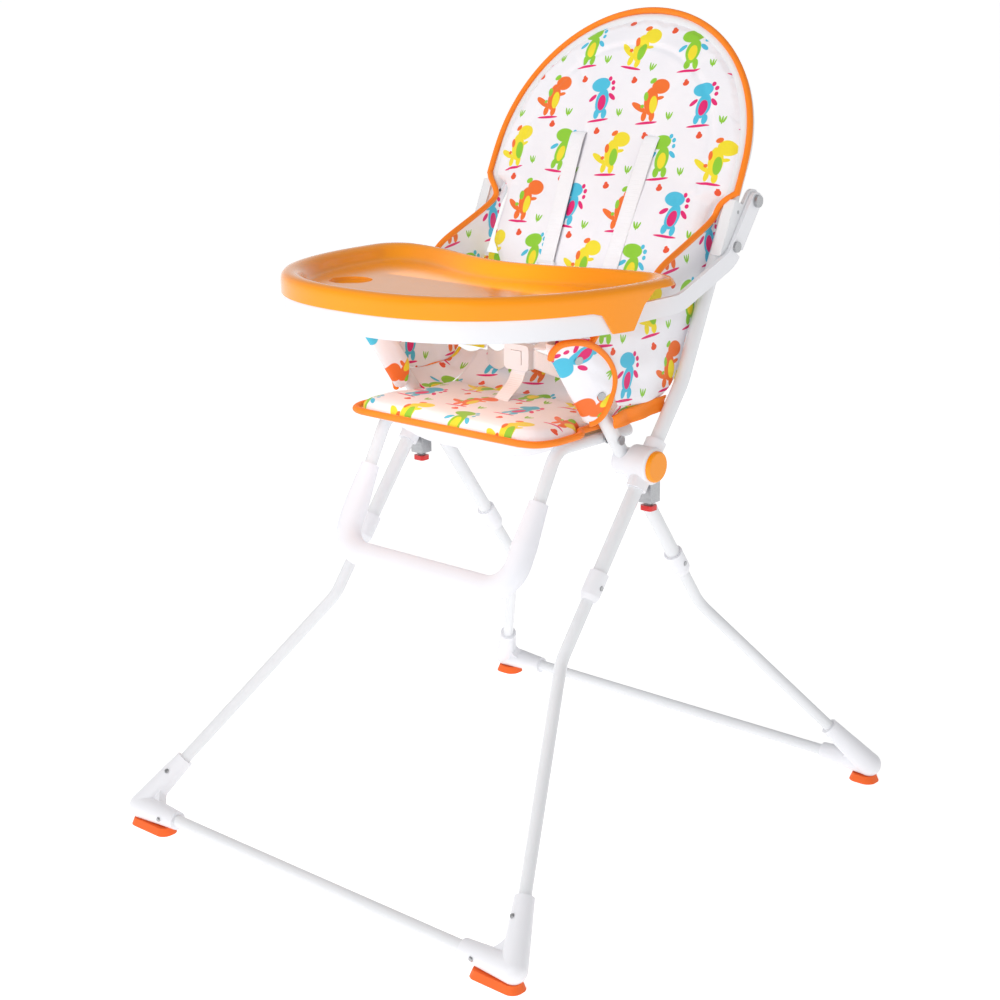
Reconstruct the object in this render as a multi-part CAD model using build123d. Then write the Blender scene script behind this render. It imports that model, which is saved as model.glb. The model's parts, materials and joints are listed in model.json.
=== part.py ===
"""Folding baby high chair: X-frame with a sling seat, footrest, harness and a swing-up tray.

Millimetres, +Z up. The origin is on the floor under the middle of the base, the chair
faces -Y, and +X is the child's left. Left pieces are built and right ones are mirrored.
"""
import os
from math import cos, radians, sin

from build123d import *

# ---- overall frame -------------------------------------------------------------------
HUB_Y, HUB_Z = 32, 507            # axis of the fold, parallel to X
OUTER_X = 199                     # plane of the front-leg and backrest tube
INNER_X = 167                     # plane of the rear-leg tube
SEAT_X = 146                      # plane of the seat and footrest tube
UPPER_R, UPPER_WALL = 9.5, 1.2    # upper steel tubes
LOWER_R, LOWER_WALL = 8.0, 1.2    # leg ends and floor bars
SEAT_R, SEAT_WALL = 8.5, 1.2
FIT = 0.05                        # gap between a tube and the moulding on it
REACH = 240                       # further out in X than any bolted piece

# ---- legs and feet -------------------------------------------------------------------
FRONT_BEND = (-134, 291)          # (y, z) where the front legs turn outwards
REAR_BEND = (199, 274)
FRONT_CORNER = (332, -378, 25)
REAR_CORNER = (340, 378, 25)
FRONT_SLEEVE_Z, REAR_SLEEVE_Z = 372, 345
LEG_BEND_R = 60
SLEEVE_R, SLEEVE_LENGTH = 12.8, 38
TUBE_OVERLAP = 32                 # lower tube held inside the upper one
SNAP_R, SNAP_BORE_R = 3.0, 3.3      # spring buttons of the leg joints
CORNER_GAP = 20                   # tube ends stop short of the corner
FOOT_LEG_LENGTH, FOOT_BAR_LENGTH = 85, 75
FOOT_R, FOOT_END_R, FOOT_WEB = 17, 12.2, 15
PAD_HEIGHT = 10
PAD_FRONT_SIZE, PAD_REAR_SIZE = (74, 30), (40, 34)
SCREW_ON_LEG, SCREW_ON_BAR = (58, 14.4), (52, 14.2)   # distance from the corner, seat radius

# ---- backrest ------------------------------------------------------------------------
BACK_BEND_Z = 601
RECLINE = 24.5                    # degrees off vertical
BACK_TOP_Z = 1040.5               # centre of the tube at the top of the arch
ARCH_R, BACK_BEND_R = 194, 90
PAD_REAR, PAD_FRONT = -12, 17     # backrest pad, measured across the tube plane
WING_X = (182.6, 187.2)
PAD_HALF_WIDTH, PAD_LOW_HALF_WIDTH, PAD_STEP = 181.5, 148, 122
PAD_BOTTOM = 4                    # above the bend, measured up the slope
TIP_T = 198                       # rear tube's upper end, along the tube from the hub
CUFF_R = 14.2                     # fabric cuff on that end, at its inner side
CUFF_SNAPS = ((124, 18.6, -2.5), (189, 16.1, -7))   # along the tube, then out and behind
CUFF_SNAP_TILT = 26               # degrees the studs turn forwards from straight out

# ---- hub -----------------------------------------------------------------------------
HUB_R, HUB_INNER_X, HUB_OUTER_X = 24, 181.6, 213
HUB_COLLAR_R, HUB_COLLAR_LENGTH = 13.4, 68
CAP_R, CAP_THICKNESS = 20, 5.5
INNER_HUB_R, INNER_HUB_X = 18, (157.2, 181.2)
BOLT_R, RUNNING = 4.0, 0.05
LOCK_Y, LOCK_PIN_R, LOCK_BORE_R = 39, 4.0, 4.3
LOCK_GUIDE_Z = (458, 490)
LOCK_PIN_TOP, LOCK_BORE_TOP = 488, 495
RELEASE_Z = (447, 453.5)
SPRING_R, SPRING_WIRE_R, SPRING_TURNS = 5.6, 0.5, 2

# ---- seat and footrest ---------------------------------------------------------------
SEAT_PIVOT_T = 40                 # along the front upper tube from the hub
SEAT_REAR_Y, SEAT_BEND_Y = 62, -80
FOOTREST = (-171, 376)            # (y, z) of the footrest corner
SEAT_BEND_R, FOOTREST_BEND_R = 30, 40
COVER_R, COVER_END_R = 16.5, 12.5
COVER_WAIST, COVER_TOP = 62, 118  # up the tube from the footrest corner
RIVET_R = 3.0
BOARD_Y, BOARD_WIDTH, BOARD_DEPTH = -22, 298, 156
BOARD_Z = (548.2, 552.2)
SEAT_PAD_Y, SEAT_PAD_WIDTH = (-110, 55), 300          # part between the rear tubes
SEAT_LIP_Y, SEAT_LIP_WIDTH = (-139, -34), 332         # wider part in front of them
SEAT_PAD_Z = (552.4, 574)
SLING_DROP = 34

# ---- harness -------------------------------------------------------------------------
STRAP_WIDTH, STRAP_THICKNESS, STRAP_GAP = 25, 2, 2.2
SHOULDER_TOP, SHOULDER_END = (62, 312), (52, 70)      # (x, up the backrest)
LAP_START, LAP_END = (112, 84, 603), (24, 22, 622)
BUCKLE_Y, BUCKLE_Z = 20, 622
BUCKLE_HALF = (21, 7, 17)
CROTCH_Y = -18
BUTTON_HALF, BUTTON_GAP = 9, 0.3

# ---- tray ----------------------------------------------------------------------------
TRAY_W, TRAY_FRONT_Y, TRAY_BACK_Y = 250, -295, 44     # half width and both ends
TRAY_SQUARENESS = 2.4             # 2 is an ellipse, larger is squarer
TRAY_CORNER_R, TRAY_HOLLOW = 40, 45                   # rear corners, and the curve between
TRAY_TOP, TRAY_SKIRT = 750, 724
TRAY_FLOOR, TRAY_WALL = 731, 3
RIM_SIDE, RIM_BACK, RIM_UNDER = 32, 20, 737           # rim widths, and its rear underside
RECESS_CORNER_R = 20
BASE_TOP, BASE_BOTTOM, BASE_END_Y = 723.5, 697, -50
TRAY_PIVOT, TRAY_STOP = (231, 820), (187, 766)
ARM_X = (214.2, 220.2)
ARM_WIDTH, ARM_Z = 23, 708.4
ARM_FRONT_Y = -112
ARM_CLAMP = (-108, -54)           # Y range of the base flange each arm is screwed to
ARM_SCREW_Y = (-96, -66)
BRACKET_X = (208.6, 213.8)
BRACKET_AT, BRACKET_SCREW_STEP = 203, 25              # up the backrest tube from its bend
SCREW_R = 2.5
CLIP_Y, CLIP_DROP = (-94, -52), 27
BASE_INSET, DECK_INSET, DECK = 3.4, 34, 3
PIVOT_R, STOP_R = 4.0, 4.5
CUP_CENTRE, CUP_R, CUP_DEPTH = (-130, -156), 27, 6

# ---- points worked out from the above ------------------------------------------------


def unit(vector):
    """The vector's direction."""
    return Vector(*vector).normalized()


HUB = Vector(0, HUB_Y, HUB_Z)
FRONT_DIR = unit((0, HUB_Y - FRONT_BEND[0], HUB_Z - FRONT_BEND[1]))   # up and back
REAR_DIR = unit((0, HUB_Y - REAR_BEND[0], HUB_Z - REAR_BEND[1]))      # up and forward
BACK_DIR = Vector(0, sin(radians(RECLINE)), cos(radians(RECLINE)))
BACK_BEND = HUB + FRONT_DIR * ((BACK_BEND_Z - HUB_Z) / FRONT_DIR.Z)
BACK_LENGTH = (BACK_TOP_Z - BACK_BEND_Z) / BACK_DIR.Z
BACK_PLANE = Plane(origin=BACK_BEND, x_dir=(1, 0, 0), z_dir=(0, -BACK_DIR.Z, BACK_DIR.Y))
SEAT_PIVOT = HUB + REAR_DIR * SEAT_PIVOT_T


def at_x(point, x):
    """The same point moved to the plane X = x."""
    return Vector(x, point.Y, point.Z)


def on_line(direction, z):
    """The point at height z on a tube axis through the hub."""
    return HUB + direction * ((z - HUB_Z) / direction.Z)


FRONT_SLEEVE = at_x(on_line(FRONT_DIR, FRONT_SLEEVE_Z), OUTER_X)
REAR_SLEEVE = at_x(on_line(REAR_DIR, REAR_SLEEVE_Z), INNER_X)

# ---- shared shapes -------------------------------------------------------------------


def rod(start, end, radius, end_radius=None):
    """A round bar from start to end, tapered if end_radius is given."""
    axis = Vector(*end) - Vector(*start)
    middle = Vector(*start) + axis * 0.5
    if end_radius is None:
        shape = Cylinder(radius, axis.length)
    else:
        shape = Cone(radius, end_radius, axis.length)
    return Plane(origin=middle, z_dir=axis.normalized()) * shape


def x_rod(x0, x1, y, z, radius):
    """A round bar along X."""
    return rod((x0, y, z), (x1, y, z), radius)


def block(x, y, z):
    """A box from its three ranges."""
    size = [hi - lo for lo, hi in (x, y, z)]
    return Pos(*[(lo + hi) / 2 for lo, hi in (x, y, z)]) * Box(*size)


def tube(points, bends, radius, wall):
    """A bent tube along straight runs joined by arcs."""
    path = FilletPolyline(*points, radius=bends) if bends else Line(*points)
    section = Circle(radius) - Circle(radius - wall) if wall else Circle(radius)
    return sweep(Plane(origin=path @ 0, z_dir=path % 0) * section, path=path)


def side_plate(points, x):
    """A flat plate in a plane of constant X, from its (y, z) outline."""
    face = make_face(Polyline(*[(y, z) for y, z in points], close=True))
    plane = Plane(origin=(x[0], 0, 0), x_dir=(0, 1, 0), z_dir=(1, 0, 0))
    return plane * extrude(face, amount=x[1] - x[0])


def mirrored(shape):
    """The right-hand copy of a left-hand piece."""
    return mirror(shape, about=Plane.YZ)


def both(shape):
    """A left piece and its mirror image, as two solids of one node."""
    return group(shape, mirrored(shape))


def group(*shapes):
    """Separate solids kept in one node."""
    return Compound(children=[solid for shape in shapes for solid in shape.solids()])


def save(name, shape):
    """Write one node."""
    export_step(shape, os.path.join("parts", f"{name}.step"))


def save_sides(name, shape):
    """Write a left piece and its mirrored right piece."""
    save(f"{name}_left", shape)
    save(f"{name}_right", mirrored(shape))


# ---- frame tubes ---------------------------------------------------------------------


def snap_bore(centre):
    """The hole for a snap button, along X through a leg joint's outer side."""
    return x_rod(centre.X, centre.X + 20, centre.Y, centre.Z, SNAP_BORE_R)


def back_frame():
    """One tube: up from the front legs, over the backrest arch and down again."""
    corner = at_x(BACK_BEND + BACK_DIR * BACK_LENGTH, OUTER_X)
    left = [FRONT_SLEEVE, at_x(BACK_BEND, OUTER_X), corner]
    right = [Vector(-p.X, p.Y, p.Z) for p in reversed(left)]
    bends = [BACK_BEND_R, ARCH_R, ARCH_R, BACK_BEND_R]
    shape = tube(left + right, bends, UPPER_R, UPPER_WALL)
    bolt = x_rod(-REACH, REACH, HUB_Y, HUB_Z, BOLT_R)
    bores = snap_bore(FRONT_SLEEVE)
    return shape - bolt - bores - mirrored(bores) - tray_bolt_bores()


def rear_tube():
    """Straight upper tube of the rear frame, from the leg joint to the tray end."""
    tip = at_x(HUB + REAR_DIR * TIP_T, INNER_X)
    shape = tube([REAR_SLEEVE, tip], None, UPPER_R, UPPER_WALL)
    shape -= x_rod(0, REACH, HUB_Y, HUB_Z, BOLT_R + RUNNING)
    shape -= x_rod(0, REACH, SEAT_PIVOT.Y, SEAT_PIVOT.Z, RIVET_R)
    return shape - snap_bore(REAR_SLEEVE)


def lower_leg(sleeve, direction, bend, corner):
    """A leg end: pushed into the upper tube, bent outwards, down into its foot."""
    bend_point = Vector(sleeve.X, *bend)
    corner = Vector(*corner)
    end = corner + (bend_point - corner).normalized() * CORNER_GAP
    start = sleeve + direction * TUBE_OVERLAP
    shape = tube([start, bend_point, end], [LEG_BEND_R], LOWER_R, LOWER_WALL)
    return shape - snap_bore(sleeve)


def floor_bar(corner):
    """The bar between two feet."""
    x, y, z = corner
    return tube([(-x + CORNER_GAP, y, z), (x - CORNER_GAP, y, z)], None, LOWER_R, LOWER_WALL)


def leg_sleeve(centre, direction):
    """Plastic ferrule over a leg joint: wide round the upper tube, a cone below it."""
    top = centre + direction * (SLEEVE_LENGTH / 2)
    shoulder = centre - direction * 12
    bottom = centre - direction * (SLEEVE_LENGTH / 2)
    shape = rod(shoulder, top, SLEEVE_R) + rod(bottom, shoulder, LOWER_R + 2, SLEEVE_R)
    shape -= rod(centre, top + direction, UPPER_R + FIT)
    shape -= rod(bottom - direction, centre, LOWER_R + FIT)
    return shape - snap_bore(centre)


def snap_button(centre):
    """Spring button of a leg joint, pressed inwards along X."""
    pin = x_rod(centre.X + 3.5, centre.X + SLEEVE_R + 0.5, centre.Y, centre.Z, SNAP_R)
    return pin + x_rod(centre.X + 2.4, centre.X + 3.9, centre.Y, centre.Z, 4.4)


# ---- feet ----------------------------------------------------------------------------


def foot(corner, bend, sleeve_x):
    """Elbow moulding that holds a leg and a floor bar, webbed across the inner corner."""
    c = Vector(*corner)
    leg_dir = (Vector(sleeve_x, *bend) - c).normalized()
    bar_dir = Vector(-1, 0, 0)
    leg_end = c + leg_dir * FOOT_LEG_LENGTH
    bar_end = c + bar_dir * FOOT_BAR_LENGTH
    shape = rod(c, leg_end, FOOT_R, FOOT_END_R) + rod(c, bar_end, FOOT_R, FOOT_END_R)
    shape += Pos(*c) * Sphere(FOOT_R)
    web_plane = Plane(origin=c, x_dir=bar_dir, z_dir=bar_dir.cross(leg_dir))
    leg_tip = web_plane.to_local_coords(c + leg_dir * (FOOT_LEG_LENGTH * 0.72))
    bar_tip = Vector(FOOT_BAR_LENGTH * 0.86, 0)
    hollow = (leg_tip + bar_tip) * 0.335
    outline = Line((0, 0), (bar_tip.X, bar_tip.Y))
    outline += ThreePointArc((bar_tip.X, bar_tip.Y), (hollow.X, hollow.Y), (leg_tip.X, leg_tip.Y))
    outline += Line((leg_tip.X, leg_tip.Y), (0, 0))
    web = extrude(make_face(outline), amount=FOOT_WEB / 2, both=True)
    shape += web_plane * web
    shape -= rod(c + leg_dir * CORNER_GAP, leg_end + leg_dir, LOWER_R + FIT)
    shape -= rod(c + bar_dir * CORNER_GAP, bar_end + bar_dir, LOWER_R + FIT)
    return shape - block((0, 500), (-500, 500), (-20, PAD_HEIGHT))


def foot_pad(corner, length, width):
    """Soft tread under a foot, wider towards the floor."""
    x, y, _ = corner
    centre = (x + 13 - length / 2, y)
    low = Pos(*centre, 0) * RectangleRounded(length, width, width * 0.42)
    high = Pos(*centre, PAD_HEIGHT - 0.05) * RectangleRounded(length - 8, width - 6, width * 0.34)
    return loft([low.face(), high.face()])


def foot_screws(corner, bend, sleeve_x):
    """Pan-head screws on the outside of a foot: one into the leg, one into the bar."""
    c = Vector(*corner)
    leg_dir = (Vector(sleeve_x, *bend) - c).normalized()
    out = Vector(0, 1 if c.Y > 0 else -1, 0)
    shapes = []
    for along, place in ((leg_dir, SCREW_ON_LEG), (Vector(-1, 0, 0), SCREW_ON_BAR)):
        distance, radius = place
        side = (out - along * out.dot(along)).normalized()
        seat = c + along * distance + side * radius
        shapes.append(rod(seat, seat + side * 1.6, 3.2, 2.2))
    return shapes


# ---- hub -----------------------------------------------------------------------------


def hub_housing():
    """Outer hub moulding, clamped on the backrest tube."""
    shape = x_rod(HUB_INNER_X, HUB_OUTER_X, HUB_Y, HUB_Z, HUB_R)
    shape = fillet(shape.edges().filter_by(GeomType.CIRCLE).sort_by(Axis.X)[-1], 4)
    centre = at_x(HUB, OUTER_X)
    half = FRONT_DIR * (HUB_COLLAR_LENGTH / 2)
    shape += rod(centre - half, centre + half, HUB_COLLAR_R)
    shape -= rod(centre - half * 2, centre + half * 2, UPPER_R + FIT)
    shape -= x_rod(0, REACH, HUB_Y, HUB_Z, BOLT_R)
    return shape - lock_bore()


def lock_bore():
    """The hole the lock pin slides in, up into the housing."""
    return rod((OUTER_X, LOCK_Y, RELEASE_Z[0]), (OUTER_X, LOCK_Y, LOCK_BORE_TOP), LOCK_BORE_R)


def hub_cap():
    """Round cover over the bolt head."""
    shape = x_rod(HUB_OUTER_X, HUB_OUTER_X + CAP_THICKNESS, HUB_Y, HUB_Z, CAP_R)
    rim = shape.edges().filter_by(GeomType.CIRCLE).sort_by(Axis.X)[-1]
    return fillet(rim, 3) - x_rod(HUB_OUTER_X - 1, HUB_OUTER_X + 2.5, HUB_Y, HUB_Z, 7.5)


def inner_hub():
    """Inner hub moulding, clamped on the rear tube and turning on the bolt."""
    shape = x_rod(*INNER_HUB_X, HUB_Y, HUB_Z, INNER_HUB_R)
    centre = at_x(HUB, INNER_X)
    shape -= rod(centre - REAR_DIR * 60, centre + REAR_DIR * 60, UPPER_R + FIT)
    return shape - x_rod(0, REACH, HUB_Y, HUB_Z, BOLT_R + RUNNING)


def hub_bolt():
    """Pivot bolt with a head under the cap and a nut on the inside."""
    shank = x_rod(151, HUB_OUTER_X + 2, HUB_Y, HUB_Z, BOLT_R)
    head = x_rod(HUB_OUTER_X, HUB_OUTER_X + 2.2, HUB_Y, HUB_Z, 7)
    return shank + head + x_rod(151, 156.7, HUB_Y, HUB_Z, 6.5)


def lock_guide():
    """Steel channel under the hub that guides the lock pin."""
    shape = block((189, 209), (LOCK_Y - 10, LOCK_Y + 10), LOCK_GUIDE_Z)
    shape -= x_rod(0, REACH, HUB_Y, HUB_Z, HUB_R + FIT)
    centre = at_x(HUB, OUTER_X)
    shape -= rod(centre - FRONT_DIR * HUB_COLLAR_LENGTH, centre, HUB_COLLAR_R + FIT)
    return shape - lock_bore()


def lock_pin():
    """Steel pin pushed up by the release button."""
    return rod((OUTER_X, LOCK_Y, RELEASE_Z[1]), (OUTER_X, LOCK_Y, LOCK_PIN_TOP), LOCK_PIN_R)


def release_button():
    """Button under the hub that frees the fold."""
    shape = block((190, 208), (LOCK_Y - 8, LOCK_Y + 8), RELEASE_Z)
    return fillet(shape.edges().filter_by(Axis.Z), 4)


def release_spring():
    """Coil between the button and its guide."""
    end_gap = SPRING_WIRE_R + 0.1
    height = LOCK_GUIDE_Z[0] - RELEASE_Z[1] - 2 * end_gap
    coil = Helix(pitch=height / SPRING_TURNS, height=height, radius=SPRING_R)
    path = Pos(OUTER_X, LOCK_Y, RELEASE_Z[1] + end_gap) * coil
    return sweep(Plane(origin=path @ 0, z_dir=path % 0) * Circle(SPRING_WIRE_R), path=path)


# ---- seat and footrest ---------------------------------------------------------------


def seat_side():
    """Axis points of the seat tube on the left, from its rear end to the footrest."""
    return [
        Vector(SEAT_X, SEAT_REAR_Y, SEAT_PIVOT.Z),
        Vector(SEAT_X, SEAT_BEND_Y, SEAT_PIVOT.Z),
        Vector(SEAT_X, *FOOTREST),
    ]


def seat_path(points):
    """The left points and their mirror images in order."""
    return points + [Vector(-p.X, p.Y, p.Z) for p in reversed(points)]


def seat_tube():
    """One tube: seat sides, down the front and across under the child's feet."""
    bends = [SEAT_BEND_R, FOOTREST_BEND_R, FOOTREST_BEND_R, SEAT_BEND_R]
    shape = tube(seat_path(seat_side()), bends, SEAT_R, SEAT_WALL)
    return shape - x_rod(-REACH, REACH, SEAT_PIVOT.Y, SEAT_PIVOT.Z, RIVET_R + RUNNING)


def footrest_cover():
    """Thick sleeve round the lower part of the seat tube."""
    _, bend, corner = seat_side()
    up = (bend - corner).normalized()
    waist = corner + up * COVER_WAIST
    top = corner + up * COVER_TOP
    bends = [FOOTREST_BEND_R, FOOTREST_BEND_R]
    shape = tube(seat_path([waist, corner]), bends, COVER_R, None)
    cone = rod(waist, top, COVER_R, COVER_END_R)
    shape += cone
    shape += mirrored(cone)
    core = tube(seat_path([top + up * 5, corner]), bends, SEAT_R + FIT, None)
    return shape - core


def seat_rivets():
    """Rivets that join the seat tube to the rear tubes, each with its washer."""
    y, z = SEAT_PIVOT.Y, SEAT_PIVOT.Z
    inner, outer = SEAT_X - SEAT_R, INNER_X + UPPER_R
    rivet = x_rod(inner - 2.4, outer + 2.4, y, z, RIVET_R)
    rivet += x_rod(inner - 2.4, inner - 0.2, y, z, 6) + x_rod(outer + 0.2, outer + 2.4, y, z, 6)
    gap = (SEAT_X + SEAT_R + 0.3, INNER_X - UPPER_R - 0.3)
    washer = x_rod(*gap, y, z, 7) - x_rod(*gap, y, z, RIVET_R + FIT)
    return both(group(rivet, washer))


def seat_board():
    """Stiff panel inside the seat cover."""
    plate = Pos(0, BOARD_Y, BOARD_Z[0]) * RectangleRounded(BOARD_WIDTH, BOARD_DEPTH, 24)
    return extrude(plate, amount=BOARD_Z[1] - BOARD_Z[0])


def seat_pad():
    """Padded seat cover on the board, wider in front of the rear tubes."""
    plan = None
    for y, width in ((SEAT_PAD_Y, SEAT_PAD_WIDTH), (SEAT_LIP_Y, SEAT_LIP_WIDTH)):
        piece = Pos(0, sum(y) / 2) * RectangleRounded(width, y[1] - y[0], 30)
        plan = piece if plan is None else plan + piece
    shape = extrude(Pos(0, 0, SEAT_PAD_Z[0]) * plan, amount=SEAT_PAD_Z[1] - SEAT_PAD_Z[0])
    return fillet(shape.edges().group_by(Axis.Z)[-1], 7)


def seat_sling():
    """Fabric belly that hangs between the seat tubes, under the board."""
    top = Pos(0, -18, BOARD_Z[0] - 0.3) * RectangleRounded(268, 132, 30)
    bottom = Pos(0, -14, BOARD_Z[0] - SLING_DROP) * RectangleRounded(170, 70, 30)
    return loft([top.face(), bottom.face()])


# ---- harness -------------------------------------------------------------------------


def strap(start, end, width_dir):
    """A straight run of webbing, its width along the given direction."""
    run = Vector(*end) - Vector(*start)
    middle = Vector(*start) + run * 0.5
    plane = Plane(origin=middle, x_dir=width_dir, z_dir=run.normalized())
    return plane * Box(STRAP_WIDTH, STRAP_THICKNESS, run.length)


def on_back(x, along):
    """A point in front of the backrest pad's face."""
    return BACK_PLANE.from_local_coords(Vector(x, along, PAD_FRONT + STRAP_GAP))


def shoulder_strap():
    """Left strap: out of the pad near the top and down its face to the lap."""
    return strap(on_back(*SHOULDER_TOP), on_back(*SHOULDER_END), (1, 0, 0))


def lap_strap():
    """Left strap from the lower end of the pad to the buckle."""
    return strap(LAP_START, LAP_END, (0, 0, 1))


def crotch_strap():
    """Strap from the seat pad up to the buckle."""
    _, _, half_height = BUCKLE_HALF
    start = (0, CROTCH_Y, SEAT_PAD_Z[1] + STRAP_GAP)
    return strap(start, (0, BUCKLE_Y, BUCKLE_Z - half_height - 2), (1, 0, 0))


def buckle():
    """Moulded buckle with a square window for its button."""
    x, y, z = BUCKLE_HALF
    shape = Pos(0, BUCKLE_Y, BUCKLE_Z) * Box(2 * x, 2 * y, 2 * z)
    shape = fillet(shape.edges().filter_by(Axis.Y), 6)
    w = BUTTON_HALF + BUTTON_GAP
    return shape - block((-w, w), (BUCKLE_Y - y - 1, BUCKLE_Y + 1), (BUCKLE_Z - w, BUCKLE_Z + w))


def buckle_button():
    """Press button in the front of the buckle."""
    w = BUTTON_HALF
    return block((-w, w), (BUCKLE_Y - 8.5, BUCKLE_Y - 3), (BUCKLE_Z - w, BUCKLE_Z + w))


# ---- fabric on the frame -------------------------------------------------------------


def back_pad():
    """Backrest pad inside the arch, narrower below so the folding tubes pass it."""
    arch_centre = BACK_LENGTH - OUTER_X
    w, low = PAD_HALF_WIDTH, PAD_LOW_HALF_WIDTH
    corners = [(low, PAD_STEP - 8), (low, PAD_BOTTOM), (-low, PAD_BOTTOM), (-low, PAD_STEP - 8)]
    outline = Polyline(*corners)
    outline += Line((-low, PAD_STEP - 8), (-w, PAD_STEP + 22))
    outline += Line((-w, PAD_STEP + 22), (-w, arch_centre))
    outline += ThreePointArc((-w, arch_centre), (0, arch_centre + w), (w, arch_centre))
    outline += Line((w, arch_centre), (w, PAD_STEP + 22))
    outline += Line((w, PAD_STEP + 22), (low, PAD_STEP - 8))
    shape = extrude(Pos(0, 0, PAD_REAR) * make_face(outline), amount=PAD_FRONT - PAD_REAR)
    return BACK_PLANE * shape


def behind_tube(along, across):
    """(y, z) of a point given along the rear tube from the hub and behind its axis."""
    point = HUB + REAR_DIR * along + Vector(0, REAR_DIR.Z, -REAR_DIR.Y) * across
    return point.Y, point.Z


def wing():
    """Side panel from the backrest tube forward to the cuff on the rear tube."""
    top = [(212, 826), (187, 799), (144, 780), (101, 762), (60, 747), (49, 719), (-20, 707)]
    front = [behind_tube(192, CUFF_R + 1), behind_tube(92, CUFF_R + 1)]
    return side_plate(top + front + [(-18, 560), (37, 562), (82, 566), (104, 603)], WING_X)


def cuff():
    """Padded fabric cuff folded round the rear tube's upper end and cut to a leaf shape."""
    centre = at_x(HUB, INNER_X)
    behind = Vector(0, REAR_DIR.Z, -REAR_DIR.Y)
    section = [(-9, -25), (-3, -25.5), (8, -16), (17, -4), (21, 6), (22.3, 14), (22.3, 33), (20.7, 33),
               (20.7, 14.4), (12, 9), (6, 13), (-4, 13.6), (-12, 8), (-CUFF_R, -2), (-13, -14)]
    plane = Plane(origin=centre, x_dir=(1, 0, 0), z_dir=Vector(1, 0, 0).cross(behind))
    bar = plane * extrude(make_face(Polyline(*section, close=True)), amount=REACH, both=True)
    edge = [(216, -27), (222, -14), (213, 2), (198, 14), (176, 25), (152, 31), (130, 28), (111, 6),
            (94, -12), (92, -22), (100, -28)]
    outline = Spline(*[behind_tube(*point) for point in edge], periodic=True)
    side = Plane(origin=(0, 0, 0), x_dir=(0, 1, 0), z_dir=(1, 0, 0))
    leaf = side * extrude(make_face(outline), amount=REACH)
    return (bar & leaf) - rod(centre, centre + REAR_DIR * REACH, UPPER_R + 0.6)


def cuff_snaps():
    """Two press studs on the cuff's outer side."""
    turn = radians(CUFF_SNAP_TILT)
    outward = Vector(cos(turn), -sin(turn) * REAR_DIR.Z, sin(turn) * REAR_DIR.Y)
    studs = []
    for along, out, across in CUFF_SNAPS:
        base = Vector(INNER_X + out, *behind_tube(along, across))
        studs.append(rod(base, base + outward * 1.4, 5.5))
    return studs


def tube_plugs():
    """End plugs of the rear tubes."""
    tip = at_x(HUB + REAR_DIR * TIP_T, INNER_X)
    head = rod(tip, tip + REAR_DIR * 2.5, UPPER_R)
    stem = rod(tip - REAR_DIR * 14, tip + REAR_DIR, UPPER_R - UPPER_WALL - FIT)
    return both(head + stem)


# ---- tray ----------------------------------------------------------------------------


def tray_outline(inset, back_inset=None, corner=None):
    """Tray plan moved in from its edge: a squared-off ellipse, closed by a hollow back."""
    back_inset = inset if back_inset is None else back_inset
    corner = TRAY_CORNER_R - inset if corner is None else corner
    a = TRAY_W - inset
    back_y = TRAY_BACK_Y - back_inset
    tip_y = back_y - corner
    b = tip_y - TRAY_FRONT_Y - inset
    power = 2 / TRAY_SQUARENESS
    angles = [radians(15 * step) for step in range(7)]
    front = [(a * abs(sin(t)) ** power, tip_y - b * abs(cos(t)) ** power) for t in angles]
    centre_y = back_y - TRAY_HOLLOW
    curve = Spline(*front, tangents=[(1, 0), (0, 1)])
    curve += TangentArc((a, tip_y), (a - corner, back_y), tangent=(0, 1))
    curve += Spline((a - corner, back_y), (0, centre_y), tangents=[(-1, 0), (-1, 0)])
    curve += Line((0, centre_y), front[0])
    half = make_face(curve)
    return half + mirror(half, about=Plane.YZ)


def recess_outline(grow=0):
    """Plan of the tray's recess, or of the outside of its wall."""
    return tray_outline(RIM_SIDE - grow, RIM_BACK - grow, RECESS_CORNER_R + grow)


def layer(face, low, high):
    """A plan face extruded between two heights."""
    return extrude(Pos(0, 0, low) * face, amount=high - low)


def ring(outer, inner, low, high):
    """The band between two insets of the tray plan."""
    return layer(tray_outline(outer), low, high) - layer(tray_outline(inner), low, high)


def tray_top():
    """Lift-off tray: rim with a skirt, sunk floor, cup recess and two side clips."""
    t = TRAY_WALL
    skirt = ring(0, t, TRAY_SKIRT, TRAY_TOP)
    skirt -= block((-300, 300), (CLIP_Y[1], 100), (TRAY_SKIRT - 1, RIM_UNDER))
    rim = layer(tray_outline(0), TRAY_TOP - t, TRAY_TOP) + layer(recess_outline(t), TRAY_FLOOR - t, TRAY_TOP)
    shape = skirt + rim - layer(recess_outline(), TRAY_FLOOR, TRAY_TOP + 1)
    cup_floor = TRAY_FLOOR - CUP_DEPTH
    shape += layer(Pos(*CUP_CENTRE) * Circle(CUP_R + t), cup_floor - t, TRAY_FLOOR)
    shape -= layer(Pos(*CUP_CENTRE) * Circle(CUP_R), cup_floor, TRAY_FLOOR + 1)
    clip = ring(0, t, TRAY_SKIRT - CLIP_DROP, TRAY_SKIRT)
    clip &= block((-300, 300), CLIP_Y, (TRAY_SKIRT - CLIP_DROP, TRAY_SKIRT))
    return shape + clip


def tray_base():
    """White band under the tray, open at the back, with a deck and arm flanges."""
    inner = BASE_INSET + TRAY_WALL
    shape = ring(BASE_INSET, inner, BASE_BOTTOM, BASE_TOP)
    shape += ring(BASE_INSET, DECK_INSET, BASE_TOP - DECK, BASE_TOP)
    height = (BASE_BOTTOM - 1, BASE_TOP + 1)
    shape -= block((-300, 300), (BASE_END_Y, 100), height)
    flange = block((ARM_X[1], 227), ARM_CLAMP, (BASE_BOTTOM + 3, BASE_TOP - 1))
    return shape + flange + mirrored(flange)


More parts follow.
